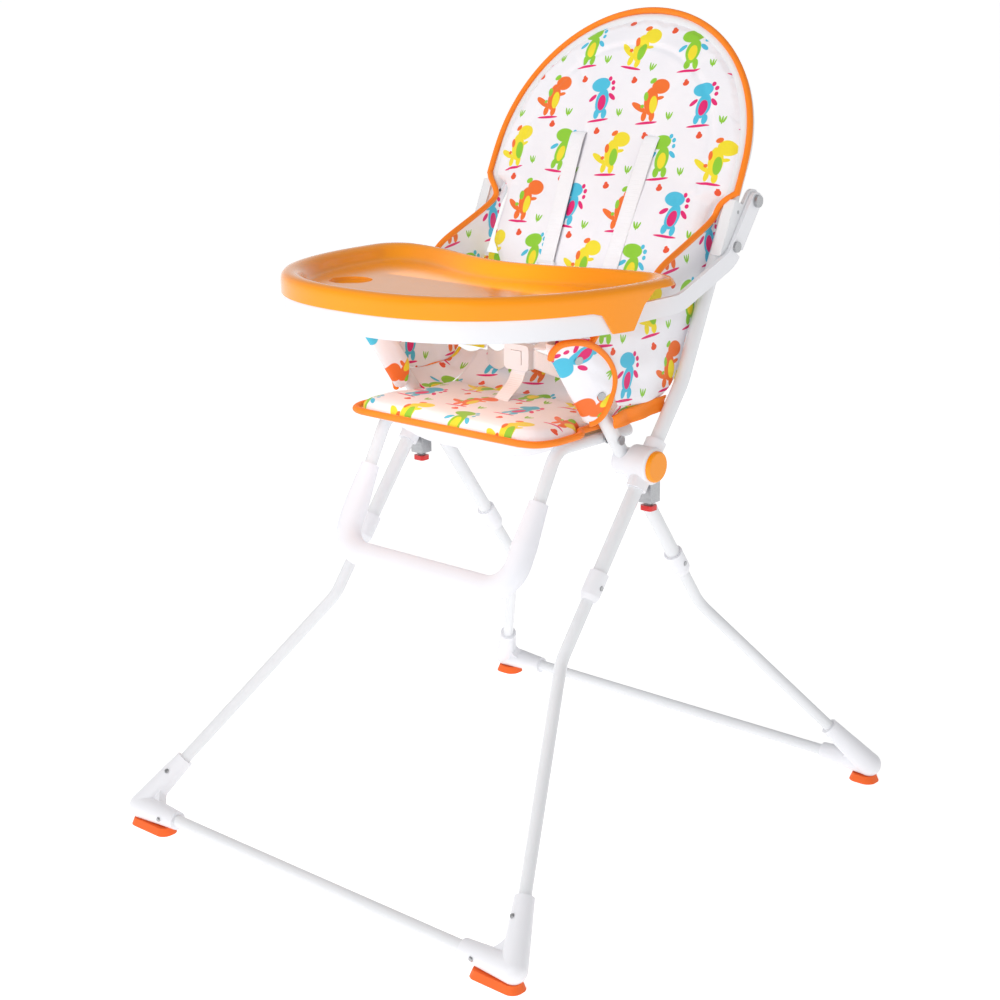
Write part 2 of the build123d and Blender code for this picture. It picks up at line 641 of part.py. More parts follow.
def tray_arm():
    """Flat arm: forward under the tray, rearward, then up to its pivot."""
    points = [(ARM_FRONT_Y, ARM_Z), (70, ARM_Z), (182, 752), TRAY_PIVOT]
    path = FilletPolyline(*points, radius=[70, 40])
    outline = trace(path, ARM_WIDTH)
    plane = Plane(origin=(ARM_X[0], 0, 0), x_dir=(0, 1, 0), z_dir=(1, 0, 0))
    shape = plane * extrude(outline, amount=ARM_X[1] - ARM_X[0])
    shape += x_rod(*ARM_X, *TRAY_PIVOT, ARM_WIDTH / 2)
    shape -= x_rod(ARM_X[0] - 1, ARM_X[1] + 1, *TRAY_PIVOT, PIVOT_R + RUNNING)
    bore = STOP_R + 0.3
    notch = block((ARM_X[0] - 1, ARM_X[1] + 1), (0, 40), (-bore, bore))
    slot = Pos(0, *TRAY_STOP) * Rot(-40, 0, 0) * notch
    return shape - slot - x_rod(ARM_X[0] - 1, ARM_X[1] + 1, *TRAY_STOP, bore)


def tray_bolt_bores():
    """Holes through the backrest tube for the bracket screws."""
    bore = None
    for point in bracket_screw_points():
        piece = x_rod(-REACH, REACH, point.Y, point.Z, SCREW_R)
        bore = piece if bore is None else bore + piece
    return bore


def bracket_screw_points():
    """Where the tray bracket is screwed to the backrest tube."""
    low, high = BRACKET_AT - BRACKET_SCREW_STEP, BRACKET_AT + BRACKET_SCREW_STEP
    return [BACK_BEND + BACK_DIR * along for along in (low, high)]


def tray_bracket():
    """Plate and saddle that carry the tray arm on the backrest tube."""
    slot = Line(TRAY_STOP, TRAY_PIVOT)
    plane = Plane(origin=(BRACKET_X[0], 0, 0), x_dir=(0, 1, 0), z_dir=(1, 0, 0))
    plate = plane * extrude(trace(slot, 30), amount=BRACKET_X[1] - BRACKET_X[0])
    plate += x_rod(*BRACKET_X, *TRAY_PIVOT, 15) + x_rod(*BRACKET_X, *TRAY_STOP, 15)
    middle = BACK_BEND + BACK_DIR * BRACKET_AT
    saddle = Plane(origin=at_x(middle, 206), x_dir=(1, 0, 0), z_dir=BACK_DIR) * Box(15.6, 26, 74)
    axis = at_x(middle, OUTER_X)
    shape = plate + saddle
    shape -= rod(axis - BACK_DIR * 90, axis + BACK_DIR * 90, UPPER_R + FIT)
    for point in bracket_screw_points():
        shape -= x_rod(0, REACH, point.Y, point.Z, SCREW_R)
    for point in (TRAY_PIVOT, TRAY_STOP):
        shape -= x_rod(0, REACH, *point, PIVOT_R)
    return shape


def tray_bolts():
    """Pivot bolts, stop studs and bracket screws."""
    pivot = x_rod(BRACKET_X[0], ARM_X[1] + 4, *TRAY_PIVOT, PIVOT_R)
    pivot += x_rod(ARM_X[1] + 0.3, ARM_X[1] + 4.5, *TRAY_PIVOT, 8)
    stop = x_rod(BRACKET_X[0], BRACKET_X[1] + 1, *TRAY_STOP, PIVOT_R)
    stop += x_rod(BRACKET_X[1], ARM_X[1] + 2.5, *TRAY_STOP, STOP_R)
    stop += x_rod(ARM_X[1] + 0.3, ARM_X[1] + 3.5, *TRAY_STOP, 7)
    screws = [x_rod(194, 213.5, p.Y, p.Z, SCREW_R) for p in bracket_screw_points()]
    return both(group(pivot, stop, *screws))


def arm_screws():
    """Screws that hold the arms to the tray base."""
    return both(group(*[x_rod(ARM_X[0] - 2, ARM_X[0], y, ARM_Z, 4.5) for y in ARM_SCREW_Y]))


# ---- write every node ----------------------------------------------------------------


def main():
    os.makedirs("parts", exist_ok=True)
    front_leg = lower_leg(FRONT_SLEEVE, FRONT_DIR, FRONT_BEND, FRONT_CORNER)
    rear_leg = lower_leg(REAR_SLEEVE, REAR_DIR, REAR_BEND, REAR_CORNER)
    save("back_frame", back_frame())
    save_sides("front_leg", front_leg)
    save_sides("rear_leg", rear_leg)
    save_sides("rear_tube", rear_tube())
    save("front_bar", floor_bar(FRONT_CORNER))
    save("rear_bar", floor_bar(REAR_CORNER))
    save_sides("front_foot", foot(FRONT_CORNER, FRONT_BEND, OUTER_X))
    save_sides("rear_foot", foot(REAR_CORNER, REAR_BEND, INNER_X))
    save("front_foot_pads", both(foot_pad(FRONT_CORNER, *PAD_FRONT_SIZE)))
    save("rear_foot_pads", both(foot_pad(REAR_CORNER, *PAD_REAR_SIZE)))
    save("front_foot_screws", both(group(*foot_screws(FRONT_CORNER, FRONT_BEND, OUTER_X))))
    save("rear_foot_screws", both(group(*foot_screws(REAR_CORNER, REAR_BEND, INNER_X))))
    save("front_leg_sleeves", both(leg_sleeve(FRONT_SLEEVE, FRONT_DIR)))
    save("rear_leg_sleeves", both(leg_sleeve(REAR_SLEEVE, REAR_DIR)))
    save_sides("front_snap_button", snap_button(FRONT_SLEEVE))
    save_sides("rear_snap_button", snap_button(REAR_SLEEVE))
    save_sides("hub_housing", hub_housing())
    save("hub_caps", both(hub_cap()))
    save("inner_hubs", both(inner_hub()))
    save("hub_bolts", both(hub_bolt()))
    save("lock_guides", both(lock_guide()))
    save_sides("lock_pin", lock_pin())
    save_sides("release_button", release_button())
    save_sides("release_spring", release_spring())
    save("seat_tube", seat_tube())
    save("footrest_cover", footrest_cover())
    save("seat_rivets", seat_rivets())
    save("seat_board", seat_board())
    save("seat_pad", seat_pad())
    save("seat_sling", seat_sling())
    save("shoulder_straps", both(shoulder_strap()))
    save("lap_straps", both(lap_strap()))
    save("crotch_strap", crotch_strap())
    save("buckle", buckle())
    save("buckle_button", buckle_button())
    save("back_pad", back_pad())
    save_sides("wing", wing())
    save_sides("flap", cuff())
    save("flap_snaps", both(group(*cuff_snaps())))
    save("rear_tube_plugs", tube_plugs())
    save("tray_top", tray_top())
    save("tray_base", tray_base())
    save("tray_arms", both(tray_arm()))
    save("tray_brackets", both(tray_bracket()))
    save("tray_bolts", tray_bolts())
    save("arm_screws", arm_screws())


main()
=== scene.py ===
"""Looks of the folding baby high chair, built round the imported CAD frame."""
import json
import math

import bmesh
import bpy
from mathutils import Matrix, Vector


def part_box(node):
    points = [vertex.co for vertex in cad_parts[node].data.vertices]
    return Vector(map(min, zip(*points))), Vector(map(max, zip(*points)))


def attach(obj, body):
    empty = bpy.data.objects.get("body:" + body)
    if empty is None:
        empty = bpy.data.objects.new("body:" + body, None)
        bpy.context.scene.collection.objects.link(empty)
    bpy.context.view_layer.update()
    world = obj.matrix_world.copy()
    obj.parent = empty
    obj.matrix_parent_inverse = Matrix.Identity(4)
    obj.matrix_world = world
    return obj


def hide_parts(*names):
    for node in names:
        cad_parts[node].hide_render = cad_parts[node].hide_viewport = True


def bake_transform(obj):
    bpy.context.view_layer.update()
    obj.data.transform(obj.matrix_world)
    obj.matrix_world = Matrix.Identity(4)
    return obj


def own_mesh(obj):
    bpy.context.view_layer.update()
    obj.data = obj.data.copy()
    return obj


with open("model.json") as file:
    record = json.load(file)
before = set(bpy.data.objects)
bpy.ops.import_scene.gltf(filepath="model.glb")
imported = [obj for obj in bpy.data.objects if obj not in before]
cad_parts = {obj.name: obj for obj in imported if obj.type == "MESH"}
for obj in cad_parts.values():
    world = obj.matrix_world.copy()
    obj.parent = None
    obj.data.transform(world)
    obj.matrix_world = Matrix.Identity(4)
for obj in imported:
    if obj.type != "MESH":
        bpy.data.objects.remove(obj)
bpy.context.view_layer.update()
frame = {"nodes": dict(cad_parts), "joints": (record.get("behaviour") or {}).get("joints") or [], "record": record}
JOINTS = {j["name"]: j for j in frame["joints"]}
MM = 0.001

# ---- places worked out from the frame ------------------------------------------------
HUB = Vector(JOINTS["fold"]["pos_m"])
RECLINE = math.radians(24.5)
UP_BACK = Vector((0, math.sin(RECLINE), math.cos(RECLINE)))      # along the backrest tubes
OUT_BACK = Vector((0, -math.cos(RECLINE), math.sin(RECLINE)))    # out of its front face
TUBE_R = 9.5 * MM
TUBE_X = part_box("back_frame")[1].x - TUBE_R                      # backrest tube centres
TOP_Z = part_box("back_frame")[1].z
BEND_Z = 601 * MM
BEND = HUB + (BEND_Z - HUB.z) * Vector((0, 166 / 216, 1))        # where the recline starts
ARCH_LENGTH = (TOP_Z - TUBE_R - BEND_Z) / UP_BACK.z              # bend to the top of the arch
REAR_X = (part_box("rear_tube_left")[0].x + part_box("rear_tube_left")[1].x) / 2
REAR_DIR = Vector((0, -167, 233)).normalized()                   # up along the rear tubes
REAR_BEHIND = Vector((0, REAR_DIR.z, -REAR_DIR.y))               # square to them, rearwards
PRINT_PITCH = (84 * MM, 75 * MM)
PRINT_SCALE = 1.15                                               # size of the printed figures


# ---- node helpers --------------------------------------------------------------------
class Nodes:
    """A material's node tree with short ways to add and join nodes."""

    def __init__(self, name):
        self.material = bpy.data.materials.new(name)
        self.material.use_nodes = True
        self.tree = self.material.node_tree
        self.shader = self.tree.nodes["Principled BSDF"]

    def set(self, **values):
        for key, value in values.items():
            self.put(value, self.shader.inputs[key.replace("_", " ")])

    def put(self, value, socket):
        """Links an output to the socket, or sets its number or colour."""
        if isinstance(value, bpy.types.NodeSocket):
            self.tree.links.new(value, socket)
        else:
            socket.default_value = value

    def node(self, kind, inputs=(), **props):
        made = self.tree.nodes.new(kind)
        for key, value in props.items():
            setattr(made, key, value)
        for key, value in dict(inputs).items():
            self.put(value, made.inputs[key])
        return made

    def math(self, operation, a, b=0.0, c=0.0):
        return self.node("ShaderNodeMath", {0: a, 1: b, 2: c}, operation=operation).outputs[0]

    def mix(self, factor, a, b):
        made = self.node("ShaderNodeMix", data_type="RGBA")
        for socket, value in ((made.inputs[0], factor), (made.inputs[6], a), (made.inputs[7], b)):
            self.put(value, socket)
        return made.outputs[2]

    def noise(self, scale, detail=2.0, vector=None):
        inputs = {"Scale": scale, "Detail": detail}
        if vector is not None:
            inputs["Vector"] = vector
        return self.node("ShaderNodeTexNoise", inputs).outputs["Fac"]

    def position(self):
        """Object coordinates, the same in every view."""
        return self.node("ShaderNodeTexCoord").outputs["Object"]

    def bump(self, height, strength, distance=0.001, normal=None):
        inputs = {"Height": height, "Strength": strength, "Distance": distance}
        if normal is not None:
            inputs["Normal"] = normal
        return self.node("ShaderNodeBump", inputs).outputs["Normal"]


def rgb(red, green, blue):
    """A display colour, 0 to 255 a channel, as a linear one."""
    linear = [((c / 255 + 0.055) / 1.055) ** 2.4 if c > 10 else c / 3295 for c in (red, green, blue)]
    return (*linear, 1.0)


# ---- materials -----------------------------------------------------------------------
THREADS = 900                                                    # half waves of weave a metre


def painted_steel():
    """Glossy powder coat with a faint orange peel."""
    n = Nodes("powder_coat")
    place = n.position()
    shade = n.noise(9, 3, place)
    n.set(Base_Color=n.mix(shade, rgb(224, 226, 229), rgb(234, 235, 238)))
    n.set(Roughness=0.3, Coat_Weight=0.35, Coat_Roughness=0.12)
    n.set(Normal=n.bump(n.noise(900, 1, place), 0.05, 0.0004))
    return n.material


def plastic(name, low, high, roughness=0.32, grain=0.04, coat=0.2, specular=0.5):
    """Moulded plastic: slight colour drift, fine grain and a soft gloss."""
    n = Nodes(name)
    place = n.position()
    n.set(Base_Color=n.mix(n.noise(6, 2, place), low, high))
    rough = n.math("MULTIPLY_ADD", n.noise(40, 2, place), 0.08, roughness - 0.04)
    n.set(Roughness=rough, Coat_Weight=coat, Coat_Roughness=0.12, Specular_IOR_Level=specular)
    n.set(Normal=n.bump(n.noise(1400, 1, place), grain, 0.0003))
    return n.material


def steel():
    """Zinc-plated steel with brushed streaks."""
    n = Nodes("zinc_steel")
    place = n.position()
    stretched = n.node("ShaderNodeMapping", {"Vector": place, "Scale": (60, 900, 900)}).outputs[0]
    streaks = n.noise(1, 3, stretched)
    n.set(Base_Color=n.mix(streaks, rgb(150, 152, 155), rgb(205, 206, 208)))
    n.set(Metallic=1.0, Roughness=n.math("MULTIPLY_ADD", streaks, 0.2, 0.22))
    return n.material


def weave(n, place):
    """Height of a plain weave from object coordinates."""
    split = n.node("ShaderNodeSeparateXYZ", {0: place})
    total = None
    for axis in range(3):
        wave = n.math("SINE", n.math("MULTIPLY", split.outputs[axis], THREADS * math.pi))
        total = wave if total is None else n.math("MULTIPLY_ADD", wave, 0.5, total)
    return total


def cloth(name, low, high, roughness=0.75, strength=0.25, sheen=0.3):
    """Woven cloth in one colour."""
    n = Nodes(name)
    place = n.position()
    n.set(Base_Color=n.mix(n.noise(14, 3, place), low, high))
    n.set(Roughness=roughness, Sheen_Weight=sheen, Sheen_Roughness=0.4)
    soft = n.bump(n.noise(35, 3, place), 0.25, 0.002)
    n.set(Normal=n.bump(weave(n, place), strength, 0.0003, soft))
    return n.material


# ---- the print -----------------------------------------------------------------------
GREEN, YELLOW = rgb(140, 203, 48), rgb(240, 221, 40)
ORANGE, BLUE = rgb(240, 112, 36), rgb(72, 190, 222)
MAGENTA, RED = rgb(226, 28, 112), rgb(232, 82, 40)
# Each blob of a motif: centre x, y, half sizes (millimetres) and turn in degrees.
WALKER = [(11, 15, 12, 9, -5), (2, -3, 9.5, 17, 10), (-14, -10, 12, 3.6, -28), (-4, -21, 3.8, 6, 0),
          (7, -21, 3.8, 6, 0), (13, 1, 5.5, 2.2, 12)]
WALKER_MARKS = [(6, -7, 5.2, 10.5, 8)]
WALKER_SPOTS = [(-6.5, 3, 3, 5.5, 10), (-1, 22, 4.6, 3, 30), (-9, -9, 2.6, 2.2, 0)]
STANDER = [(-3, 15, 13, 8.5, 4), (2, -5, 9, 15, -4), (-3, -21, 3.8, 6, 0), (8, -21, 3.8, 6, 0)]
STANDER_MARKS = [(2, -7, 5.5, 9.5, 0)]
STANDER_SPOTS = [(9, 22, 2.6, 2.8, 0), (14, 17, 2.6, 2.8, 0), (15, 10, 2.4, 2.6, 0),
                 (-12, -1, 6, 2.6, 40), (15, 0, 6, 2.6, -40)]
GROUND = [(1, -29, 15, 1.6, 5)]
TUFT = [(28, -20, 1.2, 4.5, 20), (31, -21, 1.2, 5, 0), (34, -20, 1.2, 4.5, -20)]
BERRY = [(-29, 23, 4.2, 3.2, 15), (-30, 26, 2.3, 2.3, 0)]


def blobs(n, place, shapes):
    """Mask of a set of ellipses; place is in millimetres from the motif's centre."""
    nearest = None
    for x, y, a, b, turn in shapes:
        inside = n.node("ShaderNodeMapping", {"Vector": place, "Location": (x, y, 0),
                                              "Rotation": (0, 0, math.radians(turn)),
                                              "Scale": (a, b, 1)}, vector_type="TEXTURE").outputs[0]
        reach = n.node("ShaderNodeVectorMath", {0: inside}, operation="LENGTH").outputs["Value"]
        nearest = reach if nearest is None else n.math("MINIMUM", nearest, reach)
    edge = n.node("ShaderNodeMapRange", {"Value": nearest, "From Min": 0.97, "From Max": 1.05,
                                         "To Min": 1.0, "To Max": 0.0})
    return edge.outputs[0]


def printed_fabric():
    """Smooth coated cloth with a drop repeat of four plain toy animals."""
    n = Nodes("print_fabric")
    split = n.node("ShaderNodeSeparateXYZ", {0: n.node("ShaderNodeUVMap", uv_map="print").outputs[0]})
    across, up = PRINT_PITCH
    rows = n.math("MULTIPLY_ADD", split.outputs[1], 1 / up, 0.5)
    row = n.math("FLOOR", rows)
    odd_row = n.math("FLOORED_MODULO", row, 2.0)
    shifted = n.math("MULTIPLY_ADD", odd_row, -across / 2, split.outputs[0])
    columns = n.math("MULTIPLY_ADD", shifted, 1 / across, 0.5)
    column = n.math("FLOOR", columns)
    odd_column = n.math("FLOORED_MODULO", column, 2.0)
    cell = n.node("ShaderNodeCombineXYZ", {0: column, 1: row}).outputs[0]
    chance = n.node("ShaderNodeTexWhiteNoise", {"Vector": cell}, noise_dimensions="3D").outputs
    to_figure = 1 / (MM * PRINT_SCALE)
    x = n.math("MULTIPLY", n.math("SUBTRACT", n.math("FRACT", columns), 0.5), across * to_figure)
    y = n.math("MULTIPLY", n.math("SUBTRACT", n.math("FRACT", rows), 0.5), up * to_figure)
    flat = n.node("ShaderNodeCombineXYZ", {0: x, 1: y}).outputs[0]
    tilt = n.math("MULTIPLY_ADD", chance["Value"], 0.36, -0.14)
    turned = n.node("ShaderNodeVectorRotate", {"Vector": flat, "Angle": tilt},
                    rotation_type="Z_AXIS").outputs[0]
    colour = cloth_tint(n, rgb(234, 233, 240), rgb(248, 247, 251))
    main = n.mix(odd_row, n.mix(odd_column, YELLOW, GREEN), n.mix(odd_column, ORANGE, BLUE))
    mark = n.mix(odd_row, n.mix(odd_column, GREEN, YELLOW), n.mix(odd_column, YELLOW, MAGENTA))
    spot = n.mix(odd_row, n.mix(odd_column, ORANGE, BLUE), n.mix(odd_column, GREEN, MAGENTA))
    for shapes, tone in ((GROUND, MAGENTA), (TUFT, GREEN), (BERRY, RED)):
        colour = n.mix(blobs(n, turned, shapes), colour, tone)
    standing = odd_column
    walking = n.math("SUBTRACT", 1.0, odd_column)
    for shapes, tone, kind in ((WALKER, main, walking), (WALKER_MARKS, mark, walking),
                               (WALKER_SPOTS, spot, walking), (STANDER, main, standing),
                               (STANDER_MARKS, mark, standing), (STANDER_SPOTS, spot, standing)):
        colour = n.mix(n.math("MULTIPLY", blobs(n, turned, shapes), kind), colour, tone)
    n.set(Base_Color=colour, Roughness=0.55, Sheen_Weight=0.15, Sheen_Roughness=0.4)
    place = n.position()
    soft = n.bump(n.noise(28, 4, place), 0.35, 0.004)
    n.set(Normal=n.bump(weave(n, place), 0.12, 0.0002, soft))
    return n.material


def cloth_tint(n, low, high):
    """Two close shades of one cloth, in soft patches."""
    return n.mix(n.noise(14, 3, n.position()), low, high)


MATERIALS = {
    "white_paint": painted_steel(),
    "white_plastic": plastic("white_plastic", rgb(230, 231, 236), rgb(240, 240, 244)),
    "footrest_white": plastic("footrest_white", rgb(231, 232, 238), rgb(240, 240, 246), 0.5, 0.12, 0.05),
    "orange_plastic": plastic("orange_plastic", rgb(255, 148, 0), rgb(255, 160, 0), 0.16, 0.02, 0.35, 0.3),
    "orange_tread": plastic("orange_tread", rgb(238, 92, 24), rgb(250, 112, 34), 0.6, 0.2, 0.0),
    "red_plastic": plastic("red_plastic", rgb(205, 20, 22), rgb(226, 32, 30), 0.3, 0.03, 0.3),
    "steel": steel(),
    "print_fabric": printed_fabric(),
    "piping": cloth("piping", rgb(250, 122, 6), rgb(255, 142, 14), 0.6, 0.3, 0.1),
    "plain_fabric": cloth("plain_fabric", rgb(233, 232, 237), rgb(245, 244, 248)),
    "webbing": cloth("webbing", rgb(238, 238, 243), rgb(248, 248, 251), 0.8, 0.3),
    "board": cloth("board", rgb(150, 116, 80), rgb(170, 136, 96)),
    "plug_grey": plastic("plug_grey", rgb(70, 72, 76), rgb(86, 88, 92), 0.5),
}
PIPING_SLOT = "orange_piping"
SLOT_OF = {s["node"]: s["material_slot"] for s in frame["record"]["subparts"]}


def dress_nodes():
    """Every CAD node takes the finished material of its slot."""
    for name, obj in frame["nodes"].items():
        obj.data.materials.clear()
        obj.data.materials.append(MATERIALS[SLOT_OF[name]])


# ---- building pieces -----------------------------------------------------------------
RIBBON_SIDES = 12                                                # points round a strap's section


def linked(name, data):
    """A new object in the scene for a mesh, curve, lamp or camera."""
    obj = bpy.data.objects.new(name, data)
    bpy.context.scene.collection.objects.link(obj)
    return obj


def mesh_piece(name, verts, faces, material):
    """A smooth-shaded mesh object from points and faces."""
    mesh = bpy.data.meshes.new(name)
    mesh.from_pydata([tuple(v) for v in verts], [], faces)
    mesh.validate()
    mesh.materials.append(MATERIALS[material])
    mesh.shade_smooth()
    return linked(name, mesh)


def solid_piece(name, made, material):
    """A mesh object from a closed bmesh, which is freed."""
    bmesh.ops.recalc_face_normals(made, faces=made.faces)
    mesh = bpy.data.meshes.new(name)
    made.to_mesh(mesh)
    made.free()
    mesh.materials.append(MATERIALS[material])
    return linked(name, mesh)


def grid_piece(name, rows, material, thickness=0.0, subdivide=1, closed=False):
    """A sheet through rows of points, thickened both ways."""
    count = len(rows[0])
    verts = [p for row in rows for p in row]
    span = count if closed else count - 1
    faces = []
    for r in range(len(rows) - 1):
        for c in range(span):
            d = (c + 1) % count
            faces.append((r * count + c, r * count + d, (r + 1) * count + d, (r + 1) * count + c))
    obj = mesh_piece(name, verts, faces, material)
    if thickness:
        solid = obj.modifiers.new("thickness", "SOLIDIFY")
        solid.thickness, solid.offset = thickness, 0
    if subdivide:
        obj.modifiers.new("smooth", "SUBSURF").levels = subdivide
        obj.modifiers["smooth"].render_levels = subdivide
    return obj


def bake(obj):
    """Applies the object's modifiers to its mesh."""
    graph = bpy.context.evaluated_depsgraph_get()
    mesh = bpy.data.meshes.new_from_object(obj.evaluated_get(graph))
    obj.modifiers.clear()
    obj.data = mesh
    mesh.shade_smooth()
    return obj


def rope(name, points, radius):
    """Round fabric piping along a smooth line that follows the points."""
    curve = bpy.data.curves.new(name, "CURVE")
    curve.dimensions = "3D"
    curve.bevel_depth, curve.bevel_resolution, curve.resolution_u = radius, 4, 6
    curve.use_fill_caps = True
    spline = curve.splines.new("NURBS")
    spline.points.add(len(points) - 1)
    for point, place in zip(spline.points, points):
        point.co = (*place, 1)
    spline.use_endpoint_u = True
    spline.order_u = 4
    curve.materials.append(MATERIALS["piping"])
    return linked(name, curve)


def ribbon(name, points, width_dir, width, thickness):
    """Flat webbing through the points; width_dir is the way across it."""
    rows = []
    for index, place in enumerate(points):
        ahead = points[min(index + 1, len(points) - 1)] - points[max(index - 1, 0)]
        across = width_dir.normalized()
        normal = ahead.cross(across).normalized()
        row = []
        for step in range(RIBBON_SIDES):
            turn = 2 * math.pi * step / RIBBON_SIDES
            side = math.copysign(abs(math.cos(turn)) ** 0.35, math.cos(turn))
            row.append(place + across * side * width / 2 + normal * math.sin(turn) * thickness / 2)
        rows.append(row)
    obj = grid_piece(name, rows, "webbing", subdivide=0, closed=True)
    caps = bmesh.new()
    caps.from_mesh(obj.data)
    caps.verts.ensure_lookup_table()
    last = (len(rows) - 1) * RIBBON_SIDES
    for row in (range(RIBBON_SIDES), range(last, last + RIBBON_SIDES)):
        caps.faces.new([caps.verts[i] for i in row])
    bmesh.ops.recalc_face_normals(caps, faces=caps.faces)
    caps.to_mesh(obj.data)
    caps.free()
    return obj


def print_map(obj, place):
    """Writes the print's flat coordinates, from a function of a point, as a UV map."""
    layer = obj.data.uv_layers.new(name="print")
    flat = [place(v.co) for v in obj.data.vertices]
    for loop in obj.data.loops:
        layer.data[loop.index].uv = flat[loop.vertex_index]
    return obj


def through(points, steps):
    """Points on a smooth line that passes through the given ones."""
    last = len(points) - 1
    line = []
    for index in range(last):
        a, b, c, d = (points[min(max(index + k, 0), last)] for k in (-1, 0, 1, 2))
        for step in range(steps):
            t = step / steps
            line.append(b + (c - a) * (t / 2) + (a * 2 - b * 5 + c * 4 - d) * (t * t / 2)
                        + (b * 3 - a - c * 3 + d) * (t * t * t / 2))
    return line + [points[-1]]


def lerp_line(points, share):
    """The point a share of the way along a line of evenly spaced points."""
    place = share * (len(points) - 1)
    index = min(int(place), len(points) - 2)
    return points[index].lerp(points[index + 1], place - index)


def mirror_side(points, side):
    """Points of the left side (side 1), or their mirror images (side -1)."""
    return [Vector((p.x * side, p.y, p.z)) for p in points]


def to_mesh(curve):
    """A mesh object in place of a curve."""
    graph = bpy.context.evaluated_depsgraph_get()
    mesh = bpy.data.meshes.new_from_object(curve.evaluated_get(graph))
    name = curve.name
    bpy.data.objects.remove(curve)
    return linked(name, mesh)


def closed_shape(name, outline, low, high, to_world, material):
    """A slab over a flat outline, between two heights, placed by to_world."""
    made = bmesh.new()
    bottom = [made.verts.new(to_world(x, y, low)) for x, y in outline]
    top = [made.verts.new(to_world(x, y, high)) for x, y in outline]
    made.faces.new(bottom)
    made.faces.new(top)
    for index in range(len(outline)):
        after = (index + 1) % len(outline)
        made.faces.new((bottom[index], bottom[after], top[after], top[index]))
    bmesh.ops.recalc_face_normals(made, faces=made.faces)
    bmesh.ops.triangulate(made, faces=made.faces)
    return solid_piece(name, made, material)


def remesh(obj, voxel):
    """Rebuilds the mesh as even small squares and rounds its edges."""
    modifier = obj.modifiers.new("remesh", "REMESH")
    modifier.mode, modifier.voxel_size = "VOXEL", voxel
    bake(obj)
    modifier = obj.modifiers.new("round", "SMOOTH")
    modifier.factor, modifier.iterations = 0.5, 6
    return bake(obj)


def swell(obj, pressure, cap, frames=20):
    """Blows the cover up with air pressure, moving no point further than the cap."""
    rest = [v.co.copy() for v in obj.data.vertices]
    modifier = obj.modifiers.new("cloth", "CLOTH")
    cloth_settings = modifier.settings
    cloth_settings.use_pressure = True
    cloth_settings.uniform_pressure_force = pressure
    cloth_settings.effector_weights.gravity = 0
    cloth_settings.quality = 6
    cloth_settings.mass = 0.3
    cloth_settings.tension_stiffness = cloth_settings.compression_stiffness = 15
    modifier.point_cache.frame_start, modifier.point_cache.frame_end = 1, frames
    for frame_number in range(1, frames + 1):
        bpy.context.scene.frame_set(frame_number)
    bake(obj)
    bpy.context.scene.frame_set(1)
    for vertex, start in zip(obj.data.vertices, rest):
        move = vertex.co - start
        if move.length > cap:
            vertex.co = start + move * (cap / move.length)
    return obj


def smoothstep(low, high, value):
    """0 below low, 1 above high and an easy rise between."""
    t = min(max((value - low) / (high - low), 0.0), 1.0)
    return t * t * (3 - 2 * t)


def groove(distance, width):
    """1 on a seam line, fading to 0 at its width."""
    return math.exp(-((distance / width) ** 2))


# ---- backrest cover ------------------------------------------------------------------
COVER_HALF = TUBE_X + 10.5 * MM           # the cover is pulled over the outside of the tube
COVER_LOW_HALF = 146 * MM
ARCH_START = ARCH_LENGTH - TUBE_X         # where the sides end and the arch begins
COVER_SIDE_END = 246 * MM                 # above the tray brackets the cover wraps the tube
COVER_INSET = 3 * MM                      # room left for the cover to swell


def on_back(x, up, out):
    """World point from backrest coordinates: across, up the slope, out of the face."""
    return BEND + Vector((x, 0, 0)) + UP_BACK * up + OUT_BACK * out


def back_local(point):
    """Backrest coordinates of a world point."""
    away = point - BEND
    return point.x, away.dot(UP_BACK), away.dot(OUT_BACK)


def cover_half_width(up):
    """Half the cover's width at a height: narrow below, full beside the tube, round above."""
    if up > ARCH_START:
        rise = min((up - ARCH_START) / COVER_HALF, 1.0)
        return COVER_HALF * math.sqrt(1 - rise * rise)
    inner = TUBE_X - TUBE_R - 8 * MM                   # beside the wings
    low = COVER_LOW_HALF + (inner - COVER_LOW_HALF) * smoothstep(0.10, 0.16, up)
    return low + (COVER_HALF - low) * smoothstep(COVER_SIDE_END - 0.012, COVER_SIDE_END, up)


def cover_outline():
    """The cover's outline, up the left side, over the arch and down the right."""
    heights = [0.010 + (ARCH_START - 0.010) * step / 30 for step in range(31)]
    left = [(cover_half_width(h) - COVER_INSET, h) for h in heights]
    for step in range(1, 24):
        turn = math.pi / 2 * step / 24
        radius = COVER_HALF - COVER_INSET
        left.append((radius * math.cos(turn), ARCH_START + radius * math.sin(turn)))
    top = [(0, ARCH_START + COVER_HALF - COVER_INSET)]
    return left + top + [(-x, y) for x, y in reversed(left)]


def edge_distance(x, up):
    """How far a point of the backrest is inside the cover's outline."""
    if up > ARCH_START:
        return COVER_HALF - math.hypot(x, up - ARCH_START)
    return min(cover_half_width(up) - abs(x), up + 0.01)


